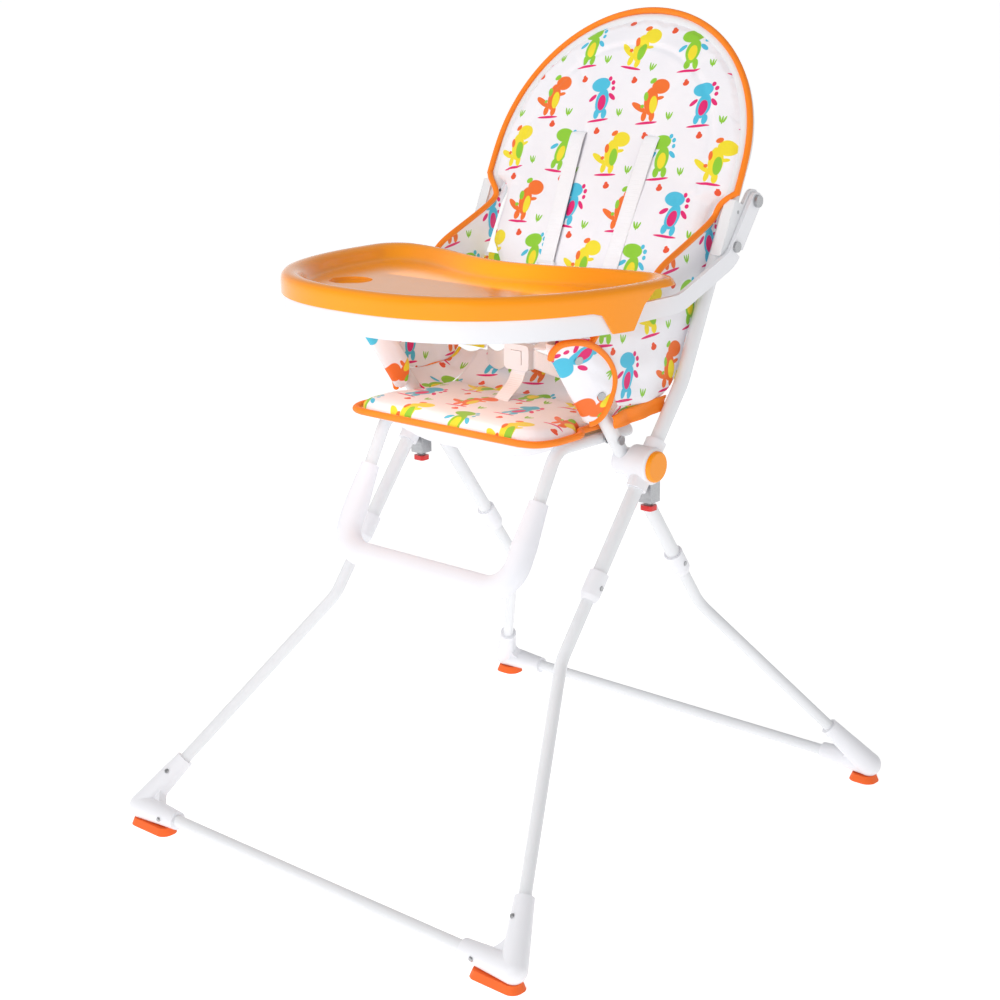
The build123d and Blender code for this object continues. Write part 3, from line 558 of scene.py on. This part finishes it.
def pad_relief(x, up):
    """Height the padding adds to the flat cover's front: crown, seams and pulled creases."""
    inside = edge_distance(x, up)
    height = 0.0065 * smoothstep(0.010, 0.055, inside)
    insert = groove(inside - 0.052, 0.0035) * smoothstep(0.12, 0.2, up)
    height -= 0.0030 * insert
    for seam_x, lean in ((0.050, 0.030), (-0.050, -0.030)):
        line = seam_x + lean * (up - 0.10)
        fold = groove(x - line, 0.0050) * smoothstep(0.345, 0.300, up)
        height -= 0.0045 * fold
        ridge = groove(x - line - math.copysign(0.017, seam_x), 0.009)
        height += 0.0022 * ridge * smoothstep(0.36, 0.25, up)
    for crease_x, crease_up, lean, length in ((0.02, 0.20, 0.5, 0.10), (-0.10, 0.25, -0.35, 0.08),
                                              (0.12, 0.22, 0.6, 0.09), (-0.02, 0.37, 0.1, 0.05),
                                              (0.09, 0.40, 0.9, 0.05), (-0.09, 0.40, -0.8, 0.05)):
        along = up - crease_up
        aside = x - crease_x - lean * along
        height -= 0.0018 * groove(aside, 0.006) * groove(along, length / 2)
    slack = 0.0012 * math.sin(38 * x + 9 * up) * math.sin(31 * up - 12 * x)
    return height + slack * smoothstep(0.01, 0.05, inside)


def back_print(point):
    """The backrest's print stands upright on its slope."""
    x, up, _ = back_local(point)
    return x, up - 0.140


def backrest_cover():
    """The padded cover over the arch: printed front, plain back, seams and creases."""
    cover = closed_shape("backrest_cover", cover_outline(), -0.0085, 0.0090, on_back, "print_fabric")
    remesh(cover, 0.0050)
    swell(cover, 4.0, 0.006)
    cover.data.materials.append(MATERIALS["plain_fabric"])
    for vertex in cover.data.vertices:
        x, up, out = back_local(vertex.co)
        front = smoothstep(0.002, 0.009, out)
        back = smoothstep(-0.002, -0.009, out)
        limit = min(max(out, -0.0118), 0.0120)
        vertex.co += OUT_BACK * (limit - out + front * pad_relief(x, up) - back * 0.0015)
    for face in cover.data.polygons:
        if face.normal.dot(OUT_BACK) < -0.3:
            face.material_index = 1
    print_map(cover, back_print)
    cover.modifiers.new("smooth", "SUBSURF").levels = 1
    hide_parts("back_pad")
    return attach(cover, "main_frame")


def backrest_piping():
    """Orange binding round the cover's front edge, down to the brackets on each side."""
    radius = COVER_HALF + 0.0005
    points = [(radius, COVER_SIDE_END + 0.002), (radius, COVER_SIDE_END + 0.014)]
    for step in range(25):
        turn = math.pi * step / 24
        points.append((radius * math.cos(turn), ARCH_START + radius * math.sin(turn)))
    points += [(-x, up) for x, up in reversed(points[:2])]
    line = [on_back(x, up, 0.0085) for x, up in points]
    piping = rope("backrest_piping", line, 0.0042)
    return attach(piping, "main_frame")


# ---- side wings ----------------------------------------------------------------------
WING_X = 185 * MM
# Edges of the wing and of its band, rear to front, as (y, z) in millimetres.
WING_TOP = [(212, 826), (187, 799), (144, 780), (101, 762), (66, 747), (46, 723), (8, 712), (-32, 704),
            (-67, 672)]
WING_LOW = [(103, 601), (86, 588), (60, 584), (25, 583), (-9, 588)]
BAND_TOP = [(89, 586), (57, 585), (20, 583), (-6, 581), (-20, 577)]
BAND_LOW = [(82, 567), (60, 565), (37, 563), (8, 561), (-15, 560)]
WING_PRINT = (0.047, 0.5515)                       # y and z of the print's origin on the wing
GUSSET_X, GUSSET_WIDTH = 0.136, 0.0515             # inner edge from the middle, and size
GUSSET_LOW, GUSSET_HEIGHT = 0.002, 0.136           # lower edge up the backrest, and size


def in_plane(points, x):
    """Points of a side plane from (y, z) pairs in millimetres."""
    return [Vector((x, y * MM, z * MM)) for y, z in points]


def by_tube(along, across, x):
    """World point along the rear tube from the hub, and behind its axis, in millimetres."""
    point = HUB + REAR_DIR * (along * MM) + REAR_BEHIND * (across * MM)
    return Vector((x, point.y, point.z))


def side_sheet(name, low, high, columns, rows, relief, thickness, side, material):
    """A thin quilted sheet between two lines of a side plane, with relief across it."""
    low, high = through(low, 8), through(high, 8)
    grid = []
    for r in range(rows + 1):
        t = r / rows
        line = []
        for c in range(columns + 1):
            s = c / columns
            point = lerp_line(low, s).lerp(lerp_line(high, s), t)
            point.x += relief(s, t)
            line.append(Vector((point.x * side, point.y, point.z)))
        grid.append(line)
    return bake(grid_piece(name, grid, material, thickness))


def wing_relief(s, t):
    """The wing bellies outwards and ripples between its two tubes."""
    belly = 0.0045 * math.sin(math.pi * s) * math.sin(math.pi * min(t * 1.1, 1.0))
    slack = math.sin(math.pi * s) ** 0.7
    ripple = 0.0012 * math.sin(13 * s + 4 * t) + 0.0009 * math.sin(21 * t - 9 * s)
    return belly + slack * ripple


def gusset(side_name, side):
    """Cloth from the lower backrest pad out to the wing, behind the folding tubes."""
    rows = []
    for r in range(17):
        up = GUSSET_LOW + GUSSET_HEIGHT * r / 16
        row = []
        for c in range(13):
            x = GUSSET_X + GUSSET_WIDTH * c / 12
            row.append(on_back(x * side, up, -0.001 - 0.002 * math.sin(9 * c / 12 + 30 * up)))
        rows.append(row)
    panel = grid_piece(f"gusset_{side_name}", rows, "print_fabric", 2.4 * MM)
    print_map(panel, back_print)
    bake(panel)
    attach(panel, "main_frame")
    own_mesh(panel)


def bend_with_fold(obj):
    """Bakes the piece's placement into its mesh."""
    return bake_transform(obj)


def wing(side_name, side):
    """Printed side panel with piping on its top edge and an orange band along the bottom."""
    panel = side_sheet(f"wing_panel_{side_name}", in_plane(WING_LOW, WING_X), in_plane(WING_TOP, WING_X),
                       34, 26, wing_relief, 3.2 * MM, side, "print_fabric")
    layer = panel.data.uv_layers.new(name="print")
    for face in panel.data.polygons:
        reading = 1 if face.normal.x > 0 else -1
        for index in face.loop_indices:
            place = panel.data.vertices[panel.data.loops[index].vertex_index].co
            layer.data[index].uv = (reading * (place.y - WING_PRINT[0]), place.z - WING_PRINT[1])
    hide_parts(f"wing_{side_name}")
    bend_with_fold(panel)
    edge = [on_back(0.2095, 0.250, 0.0085), on_back(0.2040, 0.243, 0.0130), on_back(0.1950, 0.235, 0.0140),
            on_back(0.1880, 0.225, 0.0100)]
    edge += in_plane(WING_TOP[1:], WING_X + 0.0008)
    piping = to_mesh(rope(f"wing_piping_{side_name}", mirror_side(edge, side), 0.0040))
    bend_with_fold(piping)
    band = side_sheet(f"wing_band_{side_name}", in_plane(BAND_LOW, WING_X + 0.001),
                      in_plane(BAND_TOP, WING_X + 0.001), 28, 8, band_relief, 3.6 * MM, side, "piping")
    bend_with_fold(band)


def band_relief(s, t):
    """Two soft pleats and the seam a third of the way from the front."""
    seam = groove(s - 0.66, 0.02)
    return 0.0012 * math.sin(7 * t + 3 * s) - 0.0016 * seam + 0.0008 * math.sin(17 * s)


# ---- cuffs on the rear tubes ---------------------------------------------------------
# Edges of the cuff in millimetres: distance up the tube from the hub, distance behind its axis.
CUFF_REAR = [(91, -20), (95, -11), (103, -3), (111, 7), (121, 20), (131, 28), (152, 31), (176, 25),
             (198, 14), (212, 2), (219, -8), (222, -15)]
CUFF_FRONT = [(91, -20), (94, -24.5), (100, -26), (150, -27), (205, -27), (215, -25), (220, -20),
              (222, -15)]
# Its skins: distance behind the tube axis, distance out from it.
CUFF_OUTER = [(-27, -5), (-23, 0.5), (-16, 8.5), (-4, 17.4), (6, 21), (14, 22.3), (33, 22.3)]
CUFF_INNER = [(-27, -6), (-23, -9.5), (-14, -13), (-2, -14.2), (8, -11.5), (13, -4)]


def between(table, value):
    """Straight-line reading of a table of (place, value) pairs."""
    for (x0, y0), (x1, y1) in zip(table, table[1:]):
        if value <= x1:
            return y0 + (y1 - y0) * max(value - x0, 0) / (x1 - x0)
    return table[-1][1]


def cuff_point(along, across, skin, side):
    """World point on one of the cuff's skins."""
    point = by_tube(along, across, REAR_X + between(skin, across) * MM)
    return Vector((point.x * side, point.y, point.z))


def cuff_print(point):
    """The cuff's print runs along the rear tube."""
    away = point - HUB
    return away.dot(REAR_DIR) - 0.232, 0.070 - away.dot(REAR_BEHIND)


def cuff(side_name, side):
    """Cloth folded round the rear tube's end: leaf-shaped outside, thick orange binding."""
    rows = []
    for step in range(37):
        share = 0.5 - 0.5 * math.cos(math.pi * step / 36)
        along = 91.5 + 130 * (0.4 * share + 0.6 * step / 36)
        front, rear = between(CUFF_FRONT, along), between(CUFF_REAR, along)
        row = []
        for c in range(19):
            across = rear + (front - rear) * c / 18
            puff = 0.5 * math.sin(along / 7 + 0.25 * across) * math.sin(math.pi * c / 18)
            point = cuff_point(along, across, CUFF_OUTER, side)
            point.x += side * puff * MM
            row.append(point)
        back = min(rear, 13)
        for c in range(1, 15):
            across = front + (back - front) * c / 14
            row.append(cuff_point(along, across, CUFF_INNER, side))
        rows.append(row)
    cloth_piece = grid_piece(f"cuff_{side_name}", rows, "print_fabric", 1.8 * MM)
    print_map(cloth_piece, cuff_print)
    bake(cloth_piece)
    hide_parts(f"flap_{side_name}")
    line = [cuff_point(along, across, CUFF_OUTER, side) for along, across in
            [(207, -27), (215, -25), (220, -19)] + CUFF_REAR[::-1] + [(93, -24)]]
    binding = to_mesh(rope(f"cuff_binding_{side_name}", line, 0.0043))
    for piece, slot in ((cloth_piece, "print_fabric"), (binding, PIPING_SLOT)):
        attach(piece, "rear_frame")
        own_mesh(piece)


# ---- seat ----------------------------------------------------------------------------
SEAT_BOTTOM = 547.6 * MM
SEAT_TOP = 566 * MM
SEAT_SIDE = [(150, 50), (150, -34), (157, -46), (164.5, -58), (166, -80), (165, -108), (154, -130),
             (132, -138)]
SEAT_PRINT = (0.066, 0.120)                        # shift of the print on the seat


def seat_outline(inset=0.0):
    """Half outline of the seat cover, rear to front, moved in by a margin."""
    half = [Vector((144 * MM - inset, 55 * MM - inset, 0))]
    for x, y in SEAT_SIDE:
        half.append(Vector((x * MM - inset, y * MM + (inset if y < -120 else -inset * (y > 45)), 0)))
    return through(half, 5)


def seat_print(point):
    """The print reads from the front of the seat."""
    return point.x + SEAT_PRINT[0], point.y + SEAT_PRINT[1]


def seat_relief(x, y):
    """Height added to the seat's flat top: crown, gathers at the rear and a soft front roll."""
    half = 0.150 if y > -0.034 else 0.166
    inside = min(half - abs(x), y + 0.139, 0.055 - y)
    height = 0.004 * smoothstep(0.0, 0.035, inside) - 0.002 * smoothstep(0.02, 0.0, inside)
    for start, lean, depth in ((-0.105, 0.55, 0.0016), (-0.060, 0.42, 0.0020), (-0.012, 0.25, 0.0014),
                               (0.035, -0.15, 0.0014), (0.080, -0.42, 0.0020), (0.118, -0.60, 0.0016)):
        aside = x - start - lean * (0.055 - y)
        height -= depth * groove(aside, 0.006) * smoothstep(-0.09, 0.03, y)
    height += 0.0009 * math.sin(52 * x + 21 * y) * math.sin(44 * y - 15 * x)
    return height


def seat_cover():
    """Quilted seat cover over the board: printed top, plain underside."""
    half = seat_outline(0.003)
    outline = [(p.x, p.y) for p in half] + [(-p.x, p.y) for p in reversed(half)]
    cover = closed_shape("seat_cover", outline, SEAT_BOTTOM, SEAT_TOP - 0.002,
                         lambda x, y, z: Vector((x, y, z)), "print_fabric")
    remesh(cover, 0.0045)
    swell(cover, 4.0, 0.005)
    cover.data.materials.append(MATERIALS["plain_fabric"])
    for vertex in cover.data.vertices:
        x, y, z = vertex.co
        upper = smoothstep(0.556, 0.563, z)
        vertex.co.z = max(min(z, SEAT_TOP + 0.001) + upper * seat_relief(x, y), SEAT_BOTTOM)
    for face in cover.data.polygons:
        if face.normal.z < -0.3:
            face.material_index = 1
    print_map(cover, seat_print)
    cover.modifiers.new("smooth", "SUBSURF").levels = 1
    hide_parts("seat_pad")
    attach(cover, "seat_frame")
    half = [Vector((p.x, p.y, 0.5565)) for p in seat_outline(0.0)[6:]]
    line = half + mirror_side(half[::-1], -1)
    piping = rope("seat_piping", line, 0.0046)
    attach(piping, "seat_frame")


def seat_sling():
    """Cloth belly hung between the seat tubes under the board."""
    rows = []
    for r in range(21):
        v = 2 * r / 20 - 1
        row = []
        for c in range(29):
            u = 2 * c / 28 - 1
            drop = (1 - abs(u) ** 3.2) * (1 - abs(v) ** 3.0)
            crease = 0.0016 * math.sin(9 * u + 5 * v) * (1 - u * u) * (1 - v * v)
            x = 0.134 * u * (1 - 0.05 * v * v)
            y = -0.036 + 0.086 * v * (1 - 0.12 * u * u)
            row.append(Vector((x, y, 0.5475 - 0.036 * drop ** 0.8 + crease)))
        rows.append(row)
    belly = bake(grid_piece("seat_belly", rows, "plain_fabric", 1.5 * MM))
    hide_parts("seat_sling")
    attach(belly, "seat_frame")


def seat_join():
    """Printed cloth that carries the seat cover up to the backrest."""
    rows = []
    for r in range(13):
        t = r / 12
        y = 0.046 + 0.056 * t
        z = 0.563 + 0.040 * t * t + 0.003 * math.sin(math.pi * t)
        rows.append([Vector((0.146 * (2 * c / 24 - 1), y, z + 0.0012 * math.sin(c * 0.9 + 3 * t)))
                     for c in range(25)])
    panel = grid_piece("seat_join", rows, "print_fabric", 2.0 * MM)
    print_map(panel, seat_print)
    bake(panel)
    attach(panel, "main_frame")
    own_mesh(panel)


def seat_side(side_name, side):
    """Printed cloth from the side of the seat up to the foot of the wing."""
    inner = [(150, -4, 561), (150, 46, 562), (147, 80, 578), (146, 102, 600)]
    outer = [(184.5, y, z) for y, z in reversed(WING_LOW)]
    inner, outer = ([Vector(p) * MM for p in line] for line in (inner, outer))
    inner, outer = through(inner, 6), through(outer, 6)
    rows = []
    for r in range(9):
        t = r / 8
        row = []
        for c in range(25):
            point = lerp_line(inner, c / 24).lerp(lerp_line(outer, c / 24), t)
            point.z -= (0.004 + 0.0012 * math.sin(0.9 * c)) * math.sin(math.pi * t)
            row.append(Vector((point.x * side, point.y, point.z)))
        rows.append(row)
    panel = grid_piece(f"seat_side_{side_name}", rows, "print_fabric", 2.0 * MM)
    print_map(panel, seat_print)
    bake(panel)
    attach(panel, "main_frame")
    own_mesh(panel)


# ---- harness -------------------------------------------------------------------------
STRAP_WIDTH, STRAP_THICKNESS = 25 * MM, 2.0 * MM
ACROSS, UPRIGHT = Vector((1, 0, 0)), Vector((0, 0, 1))


def strap(name, points, width_dir, body, stands_for=None):
    """A run of harness webbing through the points."""
    line = through(points, 6)
    piece = ribbon(name, line, width_dir, STRAP_WIDTH, STRAP_THICKNESS)
    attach(piece, body)
    if stands_for:
        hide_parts(stands_for)
    return piece


def harness():
    """Shoulder, lap and crotch webbing to the buckle, with a slider on each shoulder strap."""
    for side_name, side in (("left", 1), ("right", -1)):
        upper = [on_back(0.062, 0.314, 0.0120), on_back(0.062, 0.305, 0.0205),
                 on_back(0.058, 0.22, 0.0215), on_back(0.054, 0.120, 0.0215)]
        top = strap(f"shoulder_strap_{side_name}", mirror_side(upper, side), ACROSS, "main_frame")
        if side == 1:
            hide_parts("shoulder_straps")
        lower = [upper[-1] + UP_BACK * 0.004, on_back(0.052, 0.085, 0.030), Vector((0.040, 0.070, 0.655)),
                 Vector((0.026, 0.024, 0.634))]
        piece = strap(f"shoulder_end_{side_name}", mirror_side(lower, side), ACROSS, "main_frame")
        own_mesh(piece)
        lap = [Vector((0.116, 0.088, 0.600)), Vector((0.088, 0.070, 0.599)), Vector((0.055, 0.045, 0.607)),
               Vector((0.022, 0.022, 0.621))]
        piece = strap(f"lap_strap_{side_name}", mirror_side(lap, side), UPRIGHT, "main_frame")
        if side == 1:
            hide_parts("lap_straps")
        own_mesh(piece)
        slider(f"strap_slider_{side_name}", upper[-1], side)
    crotch = [Vector((0, -0.022, 0.5665)), Vector((0, -0.010, 0.576)), Vector((0, 0.010, 0.590)),
              Vector((0, 0.020, 0.607))]
    strap("crotch_webbing", crotch, ACROSS, "seat_frame", "crotch_strap")


def slider(name, centre, side):
    """Webbing slider: a flat ring with rounded corners and one slot."""
    place = Vector((centre.x * side, centre.y, centre.z)) + OUT_BACK * 0.0005
    piece = bmesh.new()
    half_x, half_up = 0.0165, 0.010
    loop = rounded_loop(half_x, half_up, 0.004)
    hole = rounded_loop(half_x - 0.0035, half_up - 0.0035, 0.001)
    rings = [[place + ACROSS * x + UP_BACK * y + OUT_BACK * out for x, y in line]
             for line, out in ((loop, -0.0018), (loop, 0.0018), (hole, 0.0018), (hole, -0.0018))]
    verts = [[piece.verts.new(p) for p in ring] for ring in rings]
    for a, b in zip(verts, verts[1:] + verts[:1]):
        for c in range(len(a)):
            d = (c + 1) % len(a)
            piece.faces.new((a[c], a[d], b[d], b[c]))
    obj = solid_piece(name, piece, "white_plastic")
    bevel = obj.modifiers.new("round", "BEVEL")
    bevel.width, bevel.segments = 0.0006, 2
    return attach(obj, "main_frame")


def rounded_loop(half_x, half_y, corner):
    """Points round a rectangle with rounded corners."""
    line = []
    for quarter, (sx, sy) in enumerate(((1, 1), (-1, 1), (-1, -1), (1, -1))):
        for step in range(5):
            turn = math.pi / 2 * (quarter + step / 4)
            line.append((sx * (half_x - corner) + corner * math.cos(turn),
                         sy * (half_y - corner) + corner * math.sin(turn)))
    return line


# ---- tray ----------------------------------------------------------------------------
TRAY_LOW, TRAY_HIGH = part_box("tray_top")
TRAY_HALF, TRAY_FRONT, TRAY_BACK = TRAY_HIGH.x, TRAY_LOW.y, TRAY_HIGH.y
TRAY_CORNER, TRAY_HOLLOW, TRAY_SQUARENESS = 40 * MM, 45 * MM, 2.4
TRAY_CROWN, TRAY_CLIP = TRAY_HIGH.z, TRAY_LOW.z
TRAY_FLOOR, TRAY_SKIRT = 731 * MM, 724 * MM
TRAY_WALL = 3 * MM
CUP = Vector((-0.130, -0.156, 0))
CUP_R, CUP_DEPTH = 27 * MM, 6 * MM
# Profiles of the cup's bowl: (radius, height above the tray's floor).
CUP_OUTSIDE = [(0, -CUP_DEPTH - TRAY_WALL), (CUP_R, -CUP_DEPTH - TRAY_WALL),
               (CUP_R + 2.4 * MM, -CUP_DEPTH), (CUP_R + 2.4 * MM, -1.2 * MM), (0, -1.2 * MM)]
CUP_INSIDE = [(0, -CUP_DEPTH), (CUP_R - 3 * MM, -CUP_DEPTH), (CUP_R - 1 * MM, -CUP_DEPTH + 1 * MM),
              (CUP_R, -CUP_DEPTH + 3 * MM), (CUP_R + 0.3 * MM, -0.8 * MM), (CUP_R + 1.2 * MM, 0.3 * MM),
              (CUP_R + 2 * MM, 3 * MM), (0, 3 * MM)]
SKIRT_TOP, REAR_SKIRT_LOW = 0.385, 0.577  # heights, as shares of the rise from floor to crown
# The moulding's section in millimetres: inset at the side and at the back, share of the rise
# from floor to crown, rear corner radius.
TRAY_SECTION = [(0, 0, SKIRT_TOP, 40), (0.3, 0.3, 0.615, 40), (1.6, 1.6, 0.788, 39), (4.5, 4, 0.935, 38),
                (9, 8, 1, 36), (14, 12, 1, 35), (19, 15.5, 0.938, 34), (23.5, 18.5, 0.808, 33),
                (27, 21.5, 0.615, 32), (30.5, 26, 0.327, 31), (34, 31, 0.108, 30), (39, 37, 0.015, 29),
                (46, 45, 0, 28)]


def tray_ring(inset, back_inset, corner):
    """Plan points at an inset: squared-off ellipse at the front, hollow at the back."""
    a = TRAY_HALF - inset
    back_y = TRAY_BACK - back_inset
    tip_y = back_y - corner
    b = tip_y - TRAY_FRONT - inset
    power = 2 / TRAY_SQUARENESS
    half = []
    for step in range(31):
        t = math.pi / 2 * step / 30
        half.append((a * math.sin(t) ** power, tip_y - b * max(math.cos(t), 0) ** power))
    for step in range(1, 9):
        t = math.pi / 2 * step / 8
        half.append((a - corner + corner * math.cos(t), tip_y + corner * math.sin(t)))
    reach = a - corner
    for step in range(1, 17):
        t = step / 16
        dip = TRAY_HOLLOW * smoothstep(0, 1, t)
        half.append((reach * (1 - t), back_y - dip))
    return half + [(-x, y) for x, y in reversed(half[1:-1])]


def tray_level(share):
    """Height at a share of the rise from the tray's floor to its crown."""
    return TRAY_FLOOR + share * (TRAY_CROWN - TRAY_FLOOR)


def skirt_low(y):
    """Height of the skirt's lower edge: level in front, down to the clip, up behind it."""
    front = TRAY_SKIRT + (TRAY_CLIP - TRAY_SKIRT) * smoothstep(-0.112, -0.092, y) ** 0.8
    behind = smoothstep(-0.054, -0.030, y) ** 0.7
    return front + (tray_level(REAR_SKIRT_LOW) - front) * behind


def tray_moulding():
    """Glossy tray with a rolled rim, sloping recess walls, cup recess and side clips."""
    rings = []
    skirt_top = tray_level(SKIRT_TOP)
    for share in (0.0, 0.12, 0.5, 0.85):
        ring = []
        for x, y in tray_ring(0, 0, TRAY_CORNER):
            low = skirt_low(y)
            rise = (skirt_top - low) * share if low < skirt_top else (share - 1) * 0.5 * MM
            ring.append(Vector((x, y, low + rise)))
        rings.append(ring)
    for inset, back, share, corner in TRAY_SECTION:
        level = tray_level(share)
        outer = inset < 1                          # these rings stay above the skirt's lower edge
        rings.append([Vector((x, y, max(level, skirt_low(y) + 0.5 * MM) if outer else level))
                      for x, y in tray_ring(inset * MM, back * MM, corner * MM)])
    inner = tray_ring(46 * MM, 45 * MM, 28 * MM)
    centre = Vector((0, -0.12, TRAY_FLOOR))
    for share in (0.75, 0.45, 0.15):
        rings.append([centre.lerp(Vector((x, y, TRAY_FLOOR)), share) for x, y in inner])
    tray = grid_piece("tray_moulding", rings, "orange_plastic", subdivide=0, closed=True)
    made = bmesh.new()
    made.from_mesh(tray.data)
    made.verts.ensure_lookup_table()
    count = len(inner)
    made.faces.new([made.verts[len(made.verts) - count + i] for i in range(count)])
    bmesh.ops.recalc_face_normals(made, faces=made.faces)
    if sum(f.normal.z * f.calc_area() for f in made.faces) < 0:
        bmesh.ops.reverse_faces(made, faces=made.faces)
    made.to_mesh(tray.data)
    made.free()
    wall = tray.modifiers.new("wall", "SOLIDIFY")
    wall.thickness, wall.offset = TRAY_WALL, -1
    bake(tray)
    cup_outer = lathe("cup_outer", CUP_OUTSIDE)
    cup_inner = lathe("cup_inner", CUP_INSIDE)
    for cutter, operation in ((cup_outer, "UNION"), (cup_inner, "DIFFERENCE")):
        step = tray.modifiers.new(operation, "BOOLEAN")
        step.object, step.operation, step.solver = cutter, operation, "EXACT"
        bake(tray)
        bpy.data.objects.remove(cutter)
    tray.data.set_sharp_from_angle(angle=math.radians(40))
    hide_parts("tray_top")
    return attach(tray, "tray_top")


def lathe(name, profile):
    """A closed turned solid over the cup's centre, from (radius, height above the floor)."""
    made = bmesh.new()
    rings = []
    for radius, z in profile:
        if radius == 0:
            rings.append([made.verts.new(CUP + Vector((0, 0, TRAY_FLOOR + z)))])
        else:
            turns = [t * math.pi / 32 for t in range(64)]
            rings.append([made.verts.new(CUP + Vector((radius * math.cos(turn), radius * math.sin(turn),
                                                       TRAY_FLOOR + z))) for turn in turns])
    for a, b in zip(rings, rings[1:]):
        for c in range(64):
            d = (c + 1) % 64
            if len(a) == 1:
                made.faces.new((a[0], b[c], b[d]))
            elif len(b) == 1:
                made.faces.new((a[c], a[d], b[0]))
            else:
                made.faces.new((a[c], a[d], b[d], b[c]))
    return solid_piece(name, made, "orange_plastic")


# ---- stage, light and camera ---------------------------------------------------------
SKY_LOW, SKY_HIGH = 0.9, 0.45             # brightness of the sky at the horizon and overhead
SKY_FADE = (0.05, 0.45)                   # between these heights of the view direction it fades
FLOOR_GLOW = 0.6
AIM = Vector((0, 0, 0.6))                 # every lamp points here
LAMPS = (                                 # name, place, size, power
    ("key", (-1.6, -2.0, 3.0), 1.6, 30),
    ("fill", (0.9, -2.7, 1.45), 1.6, 22),
    ("under_tray", (0, -0.12, 0.69), 0.26, 0.2),
)


def stage():
    """A wide pale floor under an even sky, with two soft lamps and a small one for the seat."""
    bpy.ops.mesh.primitive_plane_add(size=300, location=(0, 0, 0))
    floor = bpy.context.object
    floor.name = "floor"
    n = Nodes("floor")
    n.set(Base_Color=rgb(236, 236, 236), Roughness=0.95)
    n.set(Emission_Color=(1, 1, 1, 1), Emission_Strength=FLOOR_GLOW)
    floor.data.materials.append(n.material)
    world = bpy.data.worlds.new("studio")
    world.use_nodes = True
    tree = world.node_tree
    direction = tree.nodes.new("ShaderNodeTexCoord").outputs["Generated"]
    split = tree.nodes.new("ShaderNodeSeparateXYZ")
    fade = tree.nodes.new("ShaderNodeMapRange")
    fade.inputs["From Min"].default_value, fade.inputs["From Max"].default_value = SKY_FADE
    fade.inputs["To Min"].default_value, fade.inputs["To Max"].default_value = SKY_LOW, SKY_HIGH
    tree.links.new(direction, split.inputs[0])
    tree.links.new(split.outputs[2], fade.inputs["Value"])
    tree.links.new(fade.outputs[0], tree.nodes["Background"].inputs[1])
    tree.nodes["Background"].inputs[0].default_value = (1, 1, 1, 1)
    bpy.context.scene.world = world
    for name, place, size, power in LAMPS:
        lamp = bpy.data.lights.new(name, "AREA")
        lamp.size, lamp.energy = size, power
        obj = linked(name, lamp)
        obj.visible_camera = obj.visible_glossy = False
        obj.location = place
        obj.rotation_euler = (AIM - obj.location).to_track_quat("-Z", "Y").to_euler()
    bpy.context.scene.view_settings.view_transform = "Standard"


LENS, SENSOR = 67.65, 36                  # millimetres
CAMERA_PLACE = (1.5756, -1.802, 1.107)
PITCH, TURN, ROLL = (math.radians(a) for a in (15.75, 41.49, -0.36))


def camera():
    """Long lens, from the child's left front, above the tray."""
    data = bpy.data.cameras.new("camera")
    data.lens, data.sensor_width = LENS, SENSOR
    obj = linked("camera", data)
    obj.location = CAMERA_PLACE
    look = Matrix.Rotation(TURN, 4, "Z") @ Matrix.Rotation(math.pi / 2 - PITCH, 4, "X")
    obj.rotation_euler = (look @ Matrix.Rotation(ROLL, 4, "Z")).to_euler()
    bpy.context.scene.camera = obj


stage()
camera()
dress_nodes()
backrest_cover()
backrest_piping()
for side_name, side in (("left", 1), ("right", -1)):
    wing(side_name, side)
    cuff(side_name, side)
    gusset(side_name, side)
    seat_side(side_name, side)
seat_cover()
seat_sling()
seat_join()
harness()
tray_moulding()
